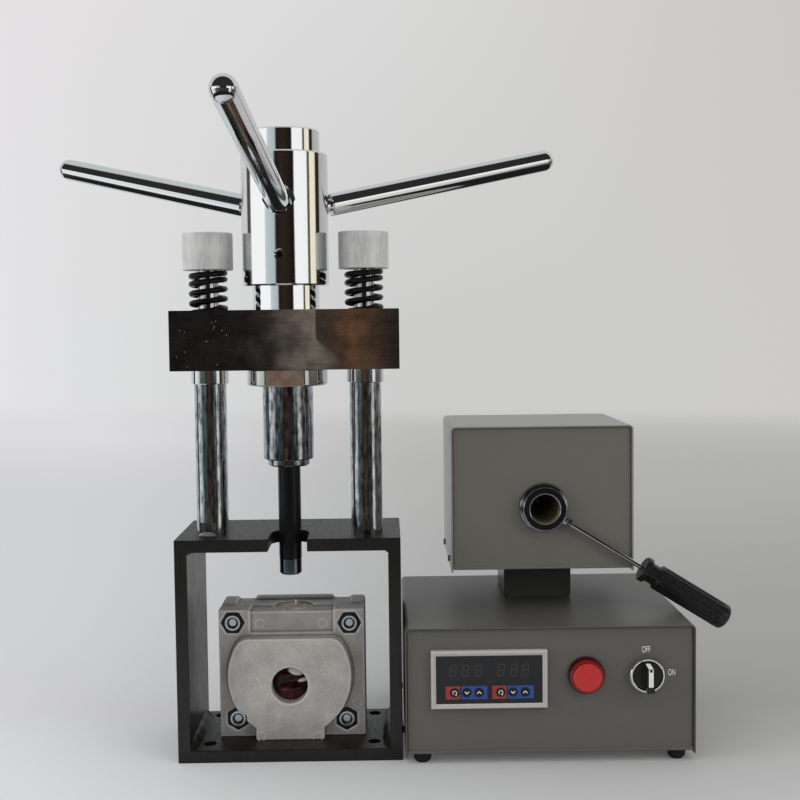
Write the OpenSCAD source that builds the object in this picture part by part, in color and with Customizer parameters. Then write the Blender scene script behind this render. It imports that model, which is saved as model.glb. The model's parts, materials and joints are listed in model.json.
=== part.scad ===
// Manual injection press for dental flasks, with its bench heater beside it.
// Millimetres. The origin is on the table under the ram's axis, +X to the right,
// +Y away from the front and +Z up.

/* [Press frame] */
// Width of the welded frame
frame_w = 188; // [180:1:210]
// Depth of the welded frame, front to back
frame_d = 110; // [104:1:140]
// Height of the welded frame
frame_h = 188; // [180:1:215]
// Thickness of every plate of the frame
plate_t = 10.5; // [8:0.5:12]
// Distance from the frame's front face back to the ram's axis
axis_back = 35; // [32:1:42]
// Width of the U notch in the top plate
notch_w = 32.5; // [26:0.5:38]
// Diameter of the fixing holes in the base plate
base_hole_d = 10.5; // [5:0.5:12.5]
// Spacing of the fixing holes, front to back
base_hole_y = 78; // [70:1:82]
// Distance from the base plate's front edge to the front fixing holes
base_hole_front = 19; // [14:1:21]
// Leg of the weld beads under the top plate
upper_weld = 5; // [3:0.5:6]
// Leg of the weld beads on the base plate
lower_weld = 8; // [5:0.5:8]

/* [Columns and crosshead] */
// Distance between the axes of the two columns
column_span = 131.5; // [124:0.5:136]
// Diameter of the columns
column_d = 27; // [24:0.5:30]
// Length of a column between the frame and its stop collar
column_h = 128.2; // [126:0.2:150]
// Width of the wrench flat at the left column's foot
wrench_w = 14.5; // [8:0.5:18]
// Height of the wrench flat
wrench_h = 11; // [6:0.5:20]
// Diameter of the stud at the top of a column
stud_d = 17.7; // [14:0.1:19]
// Diameter of the stop collars
collar_d = 31.7; // [29:0.1:34]
// Height of the stop collars
collar_h = 11.8; // [8:0.2:13]
// Width of the crosshead
crosshead_w = 190; // [182:1:200]
// Depth of the crosshead
crosshead_d = 60; // [56:1:72]
// Height of the crosshead
crosshead_h = 50; // [48:1:56]
// Diameter of the cap nuts on the studs
cap_d = 42.4; // [38:0.2:46]
// Height of the cap nuts
cap_h = 31; // [26:0.5:36]

/* [Springs] */
// Outer diameter of the springs
spring_d = 33; // [31:0.5:34]
// Diameter of the spring wire
wire_d = 4.7; // [3.5:0.1:5]
// Length of spring that shows above the crosshead
spring_show = 34; // [31:0.5:42]
// Depth of the spring seats in the crosshead
seat_depth = 14; // [12:0.5:18]
// Curls of a spring between its two closed end curls
spring_curls = 4; // [3:1:4]

/* [Hub and ram] */
// Diameter of the hub's body
hub_d = 73; // [70:0.5:80]
// Height of the hub's body
hub_h = 110; // [106:1:124]
// Diameter of the hub's foot on the crosshead
hub_foot_d = 56; // [54:0.5:64]
// Height of the hub's foot
hub_foot_h = 20; // [16:0.5:26]
// Diameter of the cap on the hub
hub_cap_d = 60; // [48:0.5:68]
// Height of the cap on the hub
hub_cap_h = 19.6; // [17:0.2:26]
// Diameter of the nut sleeve inside the hub
sleeve_d = 44; // [40:0.5:46]
// Diameter of the ram's screw
screw_d = 24; // [22:0.5:27]
// Diameter of the ram's smooth rod
ram_d = 19.3; // [17:0.1:21]
// Distance from the crosshead's underside to the ram's lower end
ram_reach = 175.2; // [172:0.2:185]
// Diameter of the ram's tip
tip_d = 19; // [16:0.1:21]
// Height of the ram's tip
tip_h = 14.2; // [10:0.2:18]

/* [Handles] */
// Diameter of the handle rods
handle_d = 19.5; // [16:0.5:22]
// Horizontal distance from the hub's axis to a handle's end
handle_reach = 268.4; // [220:1:320]
// Angle of the handles above the horizontal
handle_rise = 12.4; // [8:0.1:16]
// Turn of the front handle from straight ahead, towards the left
handle_turn = 3.8; // [0:0.1:8]
// Number of handles
handle_count = 3; // [3]
// Diameter of a handle's threaded neck
handle_neck_d = 12; // [10:0.5:14]
// Height of the handles' meeting point above the hub's foot
handle_seat = 80.3; // [74:0.5:86]

/* [Guide under the crosshead] */
// Diameter of the flange nut
flange_d = 68; // [66:0.5:74]
// Distance across the flange nut's two wrench flats
flange_flats = 60; // [56:0.5:64]
// Height of the flange nut
flange_h = 13.6; // [11:0.2:16]
// Diameter of the guide tube
guide_d = 42.8; // [38:0.2:46]
// Length of guide tube below the flange nut
guide_h = 62.8; // [52:0.4:64]
// Diameter of the end ring of the guide tube
end_ring_d = 35.3; // [32:0.1:37]
// Height of the end ring
end_ring_h = 5.6; // [4:0.1:8]

/* [Flask] */
// Width of the flask
flask_w = 125.5; // [120:0.5:132]
// Height of the flask
flask_h = 110.5; // [106:0.5:116]
// Thickness of the flask's front half without its boss
front_half_t = 24; // [22:0.5:30]
// Thickness of the flask's back half
back_half_t = 25; // [22:0.5:30]
// Distance from the ram's axis back to the flask's parting plane
flask_back = 25; // [20:0.5:34]
// Radius of the round boss on the flask's front
boss_r = 53; // [50:0.5:54]
// Height of the boss above the flask's face
boss_t = 11; // [8:0.5:13]
// Diameter of the round window in the boss
window_d = 31; // [24:0.5:36]
// Diameter of the filling hole in the flask's top
sprue_d = 33; // [28:0.5:36]
// Distance across the flats of the flask's nuts
flask_nut_af = 17.6; // [16:0.1:19]
// Diameter of the flask's bolts
flask_bolt_d = 13; // [10:0.5:13.5]

/* [Heater's control box] */
// Gap between the press frame and the control box
heater_gap = 2.3; // [2.2:0.1:30]
// Width of the control box
box_w = 240.8; // [236:0.2:246]
// Depth of the control box
box_d = 218; // [210:1:240]
// Height of the control box's top above the table
box_top = 114.2; // [108:0.2:130]
// Height of the cover's lower edges above the table
box_low = 6.4; // [5:0.2:7]
// Distance from the press frame's front back to the control box's front
box_front = -12; // [-30:1:10]
// Sheet thickness of covers and trays
sheet = 1.5; // [1:0.1:2]
// Outer radius of the covers' bends
bend_r = 4; // [3:0.5:6]
// Depth of the front panels behind the covers' edges
recess = 3; // [2:0.5:5]
// Diameter of the rubber feet
foot_d = 16; // [14:0.5:18]
// Height of the rubber feet
foot_h = 8.6; // [8.4:0.1:10]

/* [Furnace] */
// Width of the neck between the control box and the furnace
neck_w = 61; // [50:0.5:66]
// Depth of the neck
neck_d = 67; // [56:0.5:74]
// Distance from the control box's front to the neck's front
neck_back = 117; // [112:1:124]
// Height of the neck
neck_h = 35.3; // [30:0.1:45]
// Width of the furnace
furnace_w = 159.3; // [150:0.3:180]
// Depth of the furnace
furnace_d = 140; // [134:1:160]
// Height of the furnace's cover
furnace_h = 127.8; // [120:0.2:150]
// Distance from the control box's left face to the furnace's left face
furnace_left = 42.6; // [38:0.2:54]
// Distance from the control box's front to the furnace's front
furnace_back = 65; // [60:1:72]
// Outer diameter of the furnace tube
tube_d = 42; // [41:0.1:46]
// Length of the furnace tube
tube_l = 128; // [120:1:131]
// Height of the furnace tube's axis above the furnace's lower edge
tube_rise = 56; // [50:0.5:66]
// Diameter of the heating jacket
jacket_d = 70; // [56:1:78]

/* [Injection cylinder] */
// Outer diameter of the injection cylinder
cylinder_d = 38; // [34:0.1:38.6]
// Bore of the injection cylinder
cylinder_bore = 26; // [22:0.1:27]
// Length of the injection cylinder
cylinder_l = 125; // [110:1:126]
// Length of cylinder that stands out of the furnace's front
cylinder_proud = 12.5; // [11:0.5:16]
// Slope of the cylinder's handle below the horizontal
grip_slope = 32; // [28:0.5:34]
// Diameter of the handle's rod
rod_d = 4.2; // [3.5:0.1:5]
// Length of the grip with its collar
grip_l = 88; // [80:1:95]
// Diameter of the grip
grip_d = 22.5; // [18:0.5:24]
// Number of flutes along the grip
flutes = 14; // [8:1:16]

/* [Controls] */
// Width of the controller's bezel
bezel_w = 96; // [94:0.5:98]
// Height of the controller's bezel
bezel_h = 48; // [46:0.5:52]
// Thickness of the bezel in front of the panel
bezel_t = 6; // [5:0.5:9]
// Distance from the control box's left face to the bezel
bezel_left = 21.4; // [19:0.2:25]
// Height of the bezel's lower edge above the cover's lower edge
bezel_rise = 41.1; // [38:0.1:46]
// Diameter of a button
button_d = 7.2; // [6:0.1:9]
// Distance between neighbouring buttons
button_pitch = 10.1; // [9.6:0.1:10.8]
// Diameter of the pilot lamp's ring
lamp_d = 31; // [26:0.5:32]
// Distance from the control box's left face to the pilot lamp
lamp_left = 150; // [146:0.5:156]
// Diameter of the selector switch's ring
selector_d = 29; // [28:0.5:34]
// Distance from the control box's left face to the selector switch
selector_left = 200; // [196:0.5:206]
// Height of lamp and selector above the cover's lower edge
control_rise = 66.8; // [60:0.2:72]
// Diameter of the selector's knob
knob_d = 24.8; // [20:0.2:25]

/* [Hidden] */
$fn = 64;

// Clearances: a sliding or turning fit, a seat within one body, two bodies that
// move apart, and what a cut reaches past the face it opens
fit = 0.1;
seat = 0.05;
run = 0.3;
cut = 1;

// Frame
front_y = -axis_back;
rear_y = frame_d - axis_back;
side_h = frame_h - 2*plate_t;
inner_x = frame_w/2 - plate_t;
weld_end = 5;
hole_margin = 0.25;
base_hole_x = inner_x - lower_weld - hole_margin - base_hole_d/2;
spigot_d = 20;
wrench_turn = 15;

// Heights up the press
collar_z = frame_h + column_h;
crosshead_z = collar_z + collar_h;
crosshead_top = crosshead_z + crosshead_h;
cap_z = crosshead_top + spring_show;
cap_nut_roof = 7;
stud_short = 2;
cap_bore_depth = cap_h - cap_nut_roof;
stud_top = cap_z + cap_bore_depth - stud_short;
cap_chamfer = 0.6;

// Springs
seat_z = crosshead_top - seat_depth;
seat_d = spring_d + 2.4;
end_pitch = wire_d + 0.5;
spring_air = 0.1;
coil_r = (spring_d - wire_d)/2;
coil_span = cap_z - seat_z - wire_d - 2*spring_air;
curl_pitch = (coil_span - 2*end_pitch)/spring_curls;
curl_rings = 8;
wire_sides = 6;
all_curls = spring_curls + 2;

// Hub, nut sleeve and thrust bearing
foot_top = crosshead_top + hub_foot_h;
hub_top = foot_top + hub_h;
hub_chamfer = 1.2;
housing_d = flange_d - 8;
housing_h = 22;
bearing_h = 10;
bearing_z = crosshead_z + housing_h - bearing_h;
nut_flange_h = 6;
nut_z = bearing_z - nut_flange_h;
nut_flange_d = housing_d - 4;
sleeve_rise = 32;
sleeve_top = foot_top + sleeve_rise;
screw_bore = screw_d + 6;
cap_spigot_h = 8;
cap_spigot_d = screw_bore + 10;
cap_roof = 6.6;
lock_z = sleeve_top - 7;
lock_d = 5;
lock_rim_d = 9;
lock_sink = 3.5;

// Handles
handle_z = crosshead_top + handle_seat;
handle_end = handle_reach/cos(handle_rise);
spot_from = hub_d/2 - 1.5;
spot_d = handle_d + 8;
neck_from = hub_d/2 - 13;
rod_from = hub_d/2 + 5;
rod_chamfer = 1.2;

// Ram
ram_z = crosshead_z - ram_reach;
rod_z = ram_z + tip_h;
ram_room = 28;
screw_room = 70;
tip_pin_d = 10;
tip_pin_h = 12;
key_w = 4;
key_depth = 2;
flange_z = crosshead_z - flange_h;
guide_z = flange_z - guide_h;
end_ring_z = guide_z - end_ring_h;
guide_bore = screw_bore - 2;
guide_seat_h = 7.6;
ring_spigot_h = 8;
ring_spigot_d = guide_bore + 2;
screw_z = guide_z + ring_spigot_h + ram_room;
screw_l = hub_top - screw_room - screw_z;

// Flask
flask_x = -0.25;
flask_z = plate_t;
flask_t = front_half_t + back_half_t;
flask_y = flask_back - front_half_t;
flask_rear = flask_back + back_half_t;
boss_x = -2;
boss_z = flask_z + 54.5;
boss_y = flask_y - boss_t;
boss_flat = 33;
boss_corner = 12;
boss_step = 0.9;
boss_step_t = 4;
tab_w = 58.5;
pad_w = 27;
pad_h = 20;
panel_recess = 2;
panel_drop = 2;
lip_w = 69;
lip_h = 3;
lip_t = 8;
ear_in = 1;
ear_w = 12;
ear_h = 2;
nut_t = 8;
bolt_head_t = 7.5;
bolt_proud = 1;
bolt_rim = 1.5;
bolt_cup = 2;
bolt_places = [[-51, 99.5, 0], [49.3, 98.2, 0], [-47.7, 16, 30], [46.2, 14.6, 30]];
fill_w = 80;
fill_low = 14;
fill_high = 14;
fill_front = 10;
fill_rear = 10;
sprue_y = flask_back - 2;
sprue_dome = 2;
spike_x = 2;
spike_d = 2;
spike_tip_d = 0.8;
spike_h = 5;
window_z = flask_z + 46.8;
plug_depth = 13;
plug_t = 6;

// Heater
box_x = frame_w/2 + heater_gap;
box_y = front_y + box_front;
box_rear = box_y + box_d;
fold = 0.15;
hem_z = foot_h;
hem_h = 2.8;
hem_in = 1;
panel_y = box_y + recess;
box_panel_top = box_top - sheet - fold;
neck_y = box_y + neck_back;
neck_t = 2;
neck_bend = 3;
neck_top = box_top + neck_h;
furnace_x = box_x + furnace_left;
furnace_y = box_y + furnace_back;
furnace_z = neck_top - 2;
furnace_top = furnace_z + furnace_h;
furnace_panel_y = furnace_y + recess;
tube_shift = 1.3;
tube_x = furnace_x + furnace_w/2 + tube_shift;
neck_x = tube_x - neck_w/2;
tube_z = furnace_z + tube_rise;
tube_lip = 2;
tube_y = furnace_panel_y - tube_lip;
jacket_in = 16;
jacket_l = tube_l - 2*jacket_in;
jacket_y = tube_y + jacket_in;
saddle_w = 40;
wire_hole = 24;
wire_slot = 6;
slot_l = 79;
slot_h = 4;
slot_y = box_y + 44;
slot_z = box_top - bend_r - slot_h - 1;
screw_head_d = 6.5;
screw_head_h = 2;
screw_shank_d = 3;
screw_in = 7;
screw_rise = 7.5;
screw_along = [0.235, 0.85];
flange_rise = 12;
foot_in_x = 14;
foot_in_y = 11;

// Injection cylinder and its handle
cylinder_y = furnace_panel_y - cylinder_proud;
rod_y = cylinder_y + 6;
rod_in = cylinder_bore/2 + 1.5;
boss_end = cylinder_d/2 + 3.5;
rod_nut_af = 8;
rod_nut_t = 4;
collar_t = 6;
grip_neck = 8;
grip_neck_d = grip_d - 5;
grip_edge = 1;
flute_d = 3;
flute_out = 0.6;
rod_boss_d = 9;
grip_clear = 0.7;
grip_socket = 20;
grip_from = (furnace_w/2 - tube_shift + grip_clear)/cos(grip_slope) + grip_d/2*tan(grip_slope);
grip_to = grip_from + grip_l;
nozzle_d = 8;
nozzle_t = 12;

// Controller
bezel_x = box_x + bezel_left;
bezel_z = box_low + bezel_rise;
bezel_y = panel_y - bezel_t;
rim = 4;
case_w = bezel_w - 4;
case_h = bezel_h - 3;
case_d = 62;
face_sink = 1.2;
face_y = bezel_y + face_sink;
face_t = 3.4;
button_proud = 0.6;
button_t = 2.6;
button_gap = 0.2;
button_rise = 13.4;
first_button = [19.3, 57.4];
control_z = box_low + control_rise;
panel_hole = 22;
barrel_l = 24;
lamp_ring_t = 3;
lens_d = lamp_d - 3;
lens_shoulder = 7.2;
lens_face_d = lens_d - 4;
lens_t = 9.5;
lens_edge = 0.8;
selector_ring_t = 7;
ring_edge = 0.6;
knob_t = 19;
knob_disc_t = 5.5;
shaft_d = 8;
shaft_l = 8;
grip_bar_w = 6.2;
grip_bar_up = 10.7;
grip_bar_down = 11;
grip_bar_slant = 1.7;
inlet_w = 27;
inlet_h = 20;
inlet_lip = 2.5;
inlet_flange = 4;
inlet_wall = 2;
inlet_z = box_low + 24;
inlet_x = box_x + 38;
inlet_t = 16;

// A box from its lowest corner
module block(x, y, z, w, d, h) {
    translate([x, y, z]) cube([w, d, h]);
}

// An upright cylinder with its foot at a height
module post(x, y, z, d, h) {
    translate([x, y, z]) cylinder(d = d, h = h);
}

// A cylinder that lies along +Y from a point
module bar_y(x, y, z, d, l) {
    translate([x, y, z]) rotate([-90, 0, 0]) cylinder(d = d, h = l);
}

// A turned piece with chamfered rims
module turned(d, h, low, high) {
    rotate_extrude() polygon([[0, 0], [d/2 - low, 0], [d/2, low],
        [d/2, h - high], [d/2 - high, h], [0, h]]);
}

// Hexagonal prism along +Y, sized across its flats
module hex_y(x, y, z, af, l, turn) {
    translate([x, y, z]) rotate([-90, turn, 0]) cylinder(d = af/cos(30), h = l, $fn = 6);
}

// Places its children at a column's axis, -1 left and 1 right
module at_column(side) {
    translate([side*column_span/2, 0, 0]) children();
}

// Turns its children so that +Z runs out along a handle
module along_handle(i) {
    rotate([0, 0, -handle_turn - i*360/handle_count]) translate([0, 0, handle_z])
        rotate([90 - handle_rise, 0, 0]) children();
}

module base_plate() {
    color("#1d1e20") difference() {
        block(-frame_w/2, front_y, 0, frame_w, frame_d, plate_t);
        for (x = [-1, 1], y = [0, 1])
            post(x*base_hole_x, front_y + base_hole_front + y*base_hole_y, -cut,
                base_hole_d, plate_t + 2*cut);
    }
}

module top_plate() {
    color("#1d1e20") difference() {
        block(-frame_w/2, front_y, frame_h - plate_t, frame_w, frame_d, plate_t);
        post(0, 0, frame_h - plate_t - cut, notch_w, plate_t + 2*cut);
        block(-notch_w/2, front_y - cut, frame_h - plate_t - cut,
            notch_w, axis_back + cut, plate_t + 2*cut);
        for (side = [-1, 1])
            at_column(side) post(0, 0, frame_h - plate_t - cut,
                spigot_d + 2*seat, plate_t + 2*cut);
    }
}

module side_plate(side) {
    x = side > 0 ? inner_x : -frame_w/2;
    color("#1d1e20") block(x, front_y, plate_t, plate_t, frame_d, side_h);
}

module left_side_plate() { side_plate(-1); }
module right_side_plate() { side_plate(1); }

// Triangular bead in a corner of the frame's window
module bead(side, z, leg, up) {
    translate([side*inner_x, rear_y - weld_end, z]) rotate([90, 0, 0])
        linear_extrude(frame_d - 2*weld_end)
            polygon([[0, 0], [-side*leg, 0], [0, up*leg]]);
}

module weld_beads() {
    color("#26272a") for (side = [-1, 1]) {
        bead(side, plate_t, lower_weld, 1);
        bead(side, frame_h - plate_t, upper_weld, -1);
    }
}

// The left column has a wrench flat at its foot, turned a little outwards
module column(side) {
    flat_y = sqrt(pow(column_d/2, 2) - pow(wrench_w/2, 2));
    color("#d8d9da") at_column(side) {
        post(0, 0, frame_h - plate_t, spigot_d, plate_t);
        difference() {
            post(0, 0, frame_h, column_d, column_h);
            if (side < 0) rotate([0, 0, -wrench_turn])
                block(-column_d/2, -column_d, frame_h - cut, column_d,
                    column_d - flat_y, wrench_h + cut);
        }
        post(0, 0, collar_z, stud_d, stud_top - collar_z);
    }
}

module left_column() { column(-1); }
module right_column() { column(1); }

module collar(side) {
    color("#cfd0d2") at_column(side) translate([0, 0, collar_z]) difference() {
        turned(collar_d, collar_h, 0.6, 0.6);
        post(0, 0, -cut, stud_d + 2*seat, collar_h + 2*cut);
    }
}

module left_collar() { collar(-1); }
module right_collar() { collar(1); }

// Height of the spring's centre line after a number of curls, with a closed
// curl at each end
function rise(curls) = end_pitch*min(curls, 1)
    + curl_pitch*min(max(curls - 1, 0), spring_curls)
    + end_pitch*max(curls - 1 - spring_curls, 0);
coil_points = [for (i = [0 : all_curls*curl_rings])
    let (turn = 360*i/curl_rings)
    [coil_r*cos(turn), coil_r*sin(turn), rise(i/curl_rings)]];
last_ring = len(coil_points) - 1;

// Sides of the wire round one point of its centre line
function wire_ring(i) =
    let (ahead = coil_points[min(i + 1, last_ring)] - coil_points[max(i - 1, 0)])
    let (way = ahead/norm(ahead))
    let (out = [cos(360*i/curl_rings), sin(360*i/curl_rings), 0])
    let (flat = out - way*(out*way))
    let (side = flat/norm(flat))
    let (up = cross(way, side))
    [for (k = [0 : wire_sides - 1])
        coil_points[i] + wire_d/2*(side*cos(360*k/wire_sides) + up*sin(360*k/wire_sides))];
wire_points = [for (i = [0 : last_ring], p = wire_ring(i)) p];
wire_skin = [for (i = [0 : last_ring - 1], k = [0 : wire_sides - 1], half = [0, 1])
    let (a = i*wire_sides + k, b = i*wire_sides + (k + 1) % wire_sides)
    half == 0 ? [a, b, b + wire_sides] : [a, b + wire_sides, a + wire_sides]];
wire_ends = [for (k = [1 : wire_sides - 2], end = [0, 1])
    let (first = end*last_ring*wire_sides)
    end == 0 ? [first, first + k + 1, first + k] : [first, first + k, first + k + 1]];
least_gap = min([for (i = [0 : last_ring], j = [i + curl_rings/2 + 1 : 1 : last_ring])
    norm(coil_points[i] - coil_points[j])]) - wire_d;
echo(least_gap_of_a_spring_to_itself = least_gap);

module spring(side) {
    color("#151515") at_column(side) translate([0, 0, seat_z + wire_d/2 + spring_air])
        polyhedron(points = wire_points, faces = concat(wire_skin, wire_ends));
}

module left_spring() { spring(-1); }
module right_spring() { spring(1); }

module cap_nut(side) {
    color("#b9babb") at_column(side) translate([0, 0, cap_z]) difference() {
        turned(cap_d, cap_h, cap_chamfer, cap_chamfer);
        post(0, 0, -cut, stud_d + 2*fit, cap_bore_depth + cut);
    }
}

module left_cap_nut() { cap_nut(-1); }
module right_cap_nut() { cap_nut(1); }

module crosshead() {
    color("#2b211d") difference() {
        block(-crosshead_w/2, -crosshead_d/2, crosshead_z, crosshead_w, crosshead_d, crosshead_h);
        for (side = [-1, 1]) at_column(side) {
            post(0, 0, crosshead_z - cut, stud_d + 2*fit, crosshead_h + 2*cut);
            post(0, 0, seat_z, seat_d, seat_depth + cut);
        }
        post(0, 0, crosshead_z - cut, sleeve_d + 2*run, crosshead_h + 2*cut);
        post(0, 0, crosshead_z - cut, housing_d, housing_h + cut);
    }
}

module thrust_bearing() {
    color("#9fa3a6") difference() {
        post(0, 0, bearing_z, housing_d - 2*seat, bearing_h);
        post(0, 0, bearing_z - cut, sleeve_d + 2*run, bearing_h + 2*cut);
    }
}

module flange_nut() {
    color("#3a3b3e") difference() {
        union() {
            intersection() {
                translate([0, 0, flange_z]) turned(flange_d, flange_h, 1, 0.5);
                block(-flange_d, -flange_flats/2, flange_z, 2*flange_d, flange_flats, flange_h);
            }
            post(0, 0, crosshead_z, housing_d - 2*seat, nut_z - run - crosshead_z);
        }
        post(0, 0, flange_z - cut, guide_bore, flange_h + housing_h);
        post(0, 0, flange_z - cut, guide_d + 2*seat, guide_seat_h + cut);
    }
}

module guide_tube() {
    color("#8f9091") difference() {
        translate([0, 0, guide_z]) turned(guide_d, guide_h + guide_seat_h, 1, 0.5);
        post(0, 0, guide_z - cut, guide_bore, guide_h + guide_seat_h + 2*cut);
        post(0, 0, guide_z - cut, ring_spigot_d + 2*seat, ring_spigot_h + cut);
    }
}

// The key in the end ring's bore keeps the ram from turning
module guide_end_ring() {
    color("#77787a") {
        difference() {
            union() {
                translate([0, 0, end_ring_z]) turned(end_ring_d, end_ring_h, 1.2, 0);
                post(0, 0, guide_z, ring_spigot_d, ring_spigot_h);
            }
            post(0, 0, end_ring_z - cut, ram_d + 2*fit, end_ring_h + ring_spigot_h + 2*cut);
        }
        block(-key_w/2, ram_d/2 - key_depth, end_ring_z + 1, key_w, key_depth + 2, end_ring_h - 1);
    }
}

module hub() {
    color("#dcdddd") difference() {
        rotate_extrude() polygon([[sleeve_d/2 + seat, crosshead_top],
            [hub_foot_d/2, crosshead_top], [hub_foot_d/2, foot_top],
            [hub_d/2 - hub_chamfer, foot_top], [hub_d/2, foot_top + hub_chamfer],
            [hub_d/2, hub_top - hub_chamfer], [hub_d/2 - hub_chamfer, hub_top],
            [cap_spigot_d/2 + seat, hub_top], [cap_spigot_d/2 + seat, hub_top - cap_spigot_h],
            [screw_bore/2, hub_top - cap_spigot_h], [screw_bore/2, sleeve_top],
            [sleeve_d/2 + seat, sleeve_top]]);
        for (i = [0 : handle_count - 1]) along_handle(i) {
            post(0, 0, spot_from, spot_d, hub_d);
            post(0, 0, neck_from - 1, handle_neck_d + 2*seat, hub_d);
        }
        rotate([0, 0, -handle_turn]) translate([0, 0, lock_z]) rotate([90, 0, 0]) {
            post(0, 0, sleeve_d/2 - cut, lock_d + 2*seat, hub_d);
            translate([0, 0, hub_d/2 - lock_rim_d/2 + lock_d/2])
                cylinder(d1 = lock_d, d2 = lock_rim_d + 2*cut, h = (lock_rim_d - lock_d)/2 + cut);
        }
    }
}

module hub_cap() {
    color("#dcdddd") difference() {
        union() {
            translate([0, 0, hub_top]) turned(hub_cap_d, hub_cap_h, 0, hub_chamfer);
            post(0, 0, hub_top - cap_spigot_h, cap_spigot_d, cap_spigot_h);
        }
        post(0, 0, hub_top - cap_spigot_h - cut, screw_bore,
            cap_spigot_h + cut + hub_cap_h - cap_roof);
    }
}

// The nut that turns with the hub and drives the ram's screw
module hub_nut() {
    color("#b5894a") difference() {
        union() {
            post(0, 0, nut_z, nut_flange_d, nut_flange_h);
            post(0, 0, nut_z, sleeve_d, sleeve_top - nut_z);
        }
        post(0, 0, nut_z - cut, screw_d + 2*fit, sleeve_top - nut_z + 2*cut);
    }
}

module hub_lock_screw() {
    color("#202022") rotate([0, 0, -handle_turn]) translate([0, 0, lock_z]) rotate([90, 0, 0])
        post(0, 0, sleeve_d/2 + 2*seat, lock_d, (hub_d - sleeve_d)/2 - lock_sink - 2*seat);
}

module handle(i) {
    color("#d4d5d6") along_handle(i) {
        post(0, 0, neck_from, handle_neck_d, rod_from - neck_from);
        translate([0, 0, rod_from])
            turned(handle_d, handle_end - handle_d/2 - rod_from, rod_chamfer, 0);
        translate([0, 0, handle_end - handle_d/2]) sphere(d = handle_d);
    }
}

module front_handle() { handle(0); }
module left_handle() { handle(1); }
module right_handle() { handle(2); }

module ram_spindle() {
    slot_low = rod_z - cut;
    color("#1b1b1d") difference() {
        union() {
            post(0, 0, rod_z, ram_d, screw_z - rod_z);
            post(0, 0, screw_z, screw_d, screw_l);
        }
        block(-key_w/2 - fit, ram_d/2 - key_depth - fit, slot_low,
            key_w + 2*fit, screw_d, screw_z - slot_low);
        post(0, 0, rod_z - cut, tip_pin_d + 2*seat, tip_pin_h + cut);
    }
}

module ram_tip() {
    color("#d9dadb") {
        translate([0, 0, ram_z]) turned(tip_d, tip_h, 1.5, 0.8);
        post(0, 0, rod_z, tip_pin_d, tip_pin_h - run);
    }
}

// Outline of the flask's boss, seen from the front: a disc with a flat top and
// rounded corners that run smoothly into the disc
module boss_outline(grow) {
    flat = boss_flat + grow/2;
    round = boss_r + grow;
    corner_z = flat - boss_corner;
    corner_x = sqrt(pow(round - boss_corner, 2) - pow(corner_z, 2));
    meet_z = corner_z*round/(round - boss_corner);
    intersection() {
        circle(r = round, $fn = 96);
        union() {
            translate([-2*boss_r, flask_z - boss_z])
                square([4*boss_r, meet_z + boss_z - flask_z]);
            translate([-corner_x, 0]) square([2*corner_x, flat]);
            for (side = [-1, 1])
                translate([side*corner_x, corner_z]) circle(r = boss_corner);
        }
    }
}

// Straight tab from the boss down to the flask's foot
module boss_tab() {
    translate([-tab_w/2, flask_z - boss_z]) square([tab_w, boss_z - flask_z]);
}

// Stands an outline up behind a plane that faces the front
module facing(x, y, z, t) {
    translate([x, y + t, z]) rotate([90, 0, 0]) linear_extrude(t) children();
}

// Places its children at each of the flask's bolts
module at_bolts() {
    for (p = bolt_places) translate([p[0], 0, flask_z + p[1]]) rotate([0, p[2], 0]) children();
}

// Room for the plaster in both halves of the flask
module filling(grow) {
    block(flask_x - fill_w/2, flask_y + fill_front, flask_z + fill_low,
        fill_w, flask_t - fill_front - fill_rear, flask_h - fill_low - fill_high);
    post(0, sprue_y, flask_z + flask_h - fill_high - 1, sprue_d + 2*grow, fill_high - 1);
}

module flask_front_half() {
    left = flask_x - flask_w/2;
    color("#8b8883") difference() {
        union() {
            block(left, flask_y, flask_z, flask_w, flask_back - flask_y, flask_h - pad_h);
            block(left + pad_w, flask_y + panel_recess, flask_z + flask_h - pad_h,
                flask_w - 2*pad_w, flask_back - flask_y - panel_recess, pad_h - panel_drop);
            for (x = [left, left + flask_w - pad_w])
                block(x, flask_y, flask_z + flask_h - pad_h, pad_w, flask_back - flask_y, pad_h);
            facing(boss_x, boss_y, boss_z, boss_t) {
                boss_outline(0);
                boss_tab();
            }
            facing(boss_x, flask_y - boss_step_t, boss_z, boss_step_t) boss_outline(boss_step);
        }
        filling(0);
        post(0, sprue_y, flask_z + flask_h - fill_high - 1, sprue_d, fill_high + 2);
        bar_y(boss_x, boss_y - cut, window_z, window_d, boss_t + fill_front + 2*cut);
        at_bolts() {
            bar_y(0, boss_y, 0, flask_bolt_d + 2*fit, flask_t + boss_t);
            hex_y(0, boss_y, 0, flask_nut_af + 2*fit, boss_t + nut_t, 0);
        }
    }
}

module flask_back_half() {
    left = flask_x - flask_w/2;
    top = flask_z + flask_h;
    color("#7d7a76") difference() {
        union() {
            block(left, flask_back, flask_z, flask_w, flask_rear - flask_back, flask_h);
            block(flask_x - lip_w/2, flask_rear - lip_t, top, lip_w, lip_t, lip_h);
            for (x = [left + ear_in, left + flask_w - ear_in - ear_w])
                block(x, flask_back, top, ear_w, flask_rear - flask_back, ear_h);
        }
        filling(0);
        post(0, sprue_y, top - fill_high - 1, sprue_d, fill_high + 2);
        at_bolts() bar_y(0, boss_y, 0, flask_bolt_d + 2*fit, flask_t + boss_t + cut);
    }
}

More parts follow.
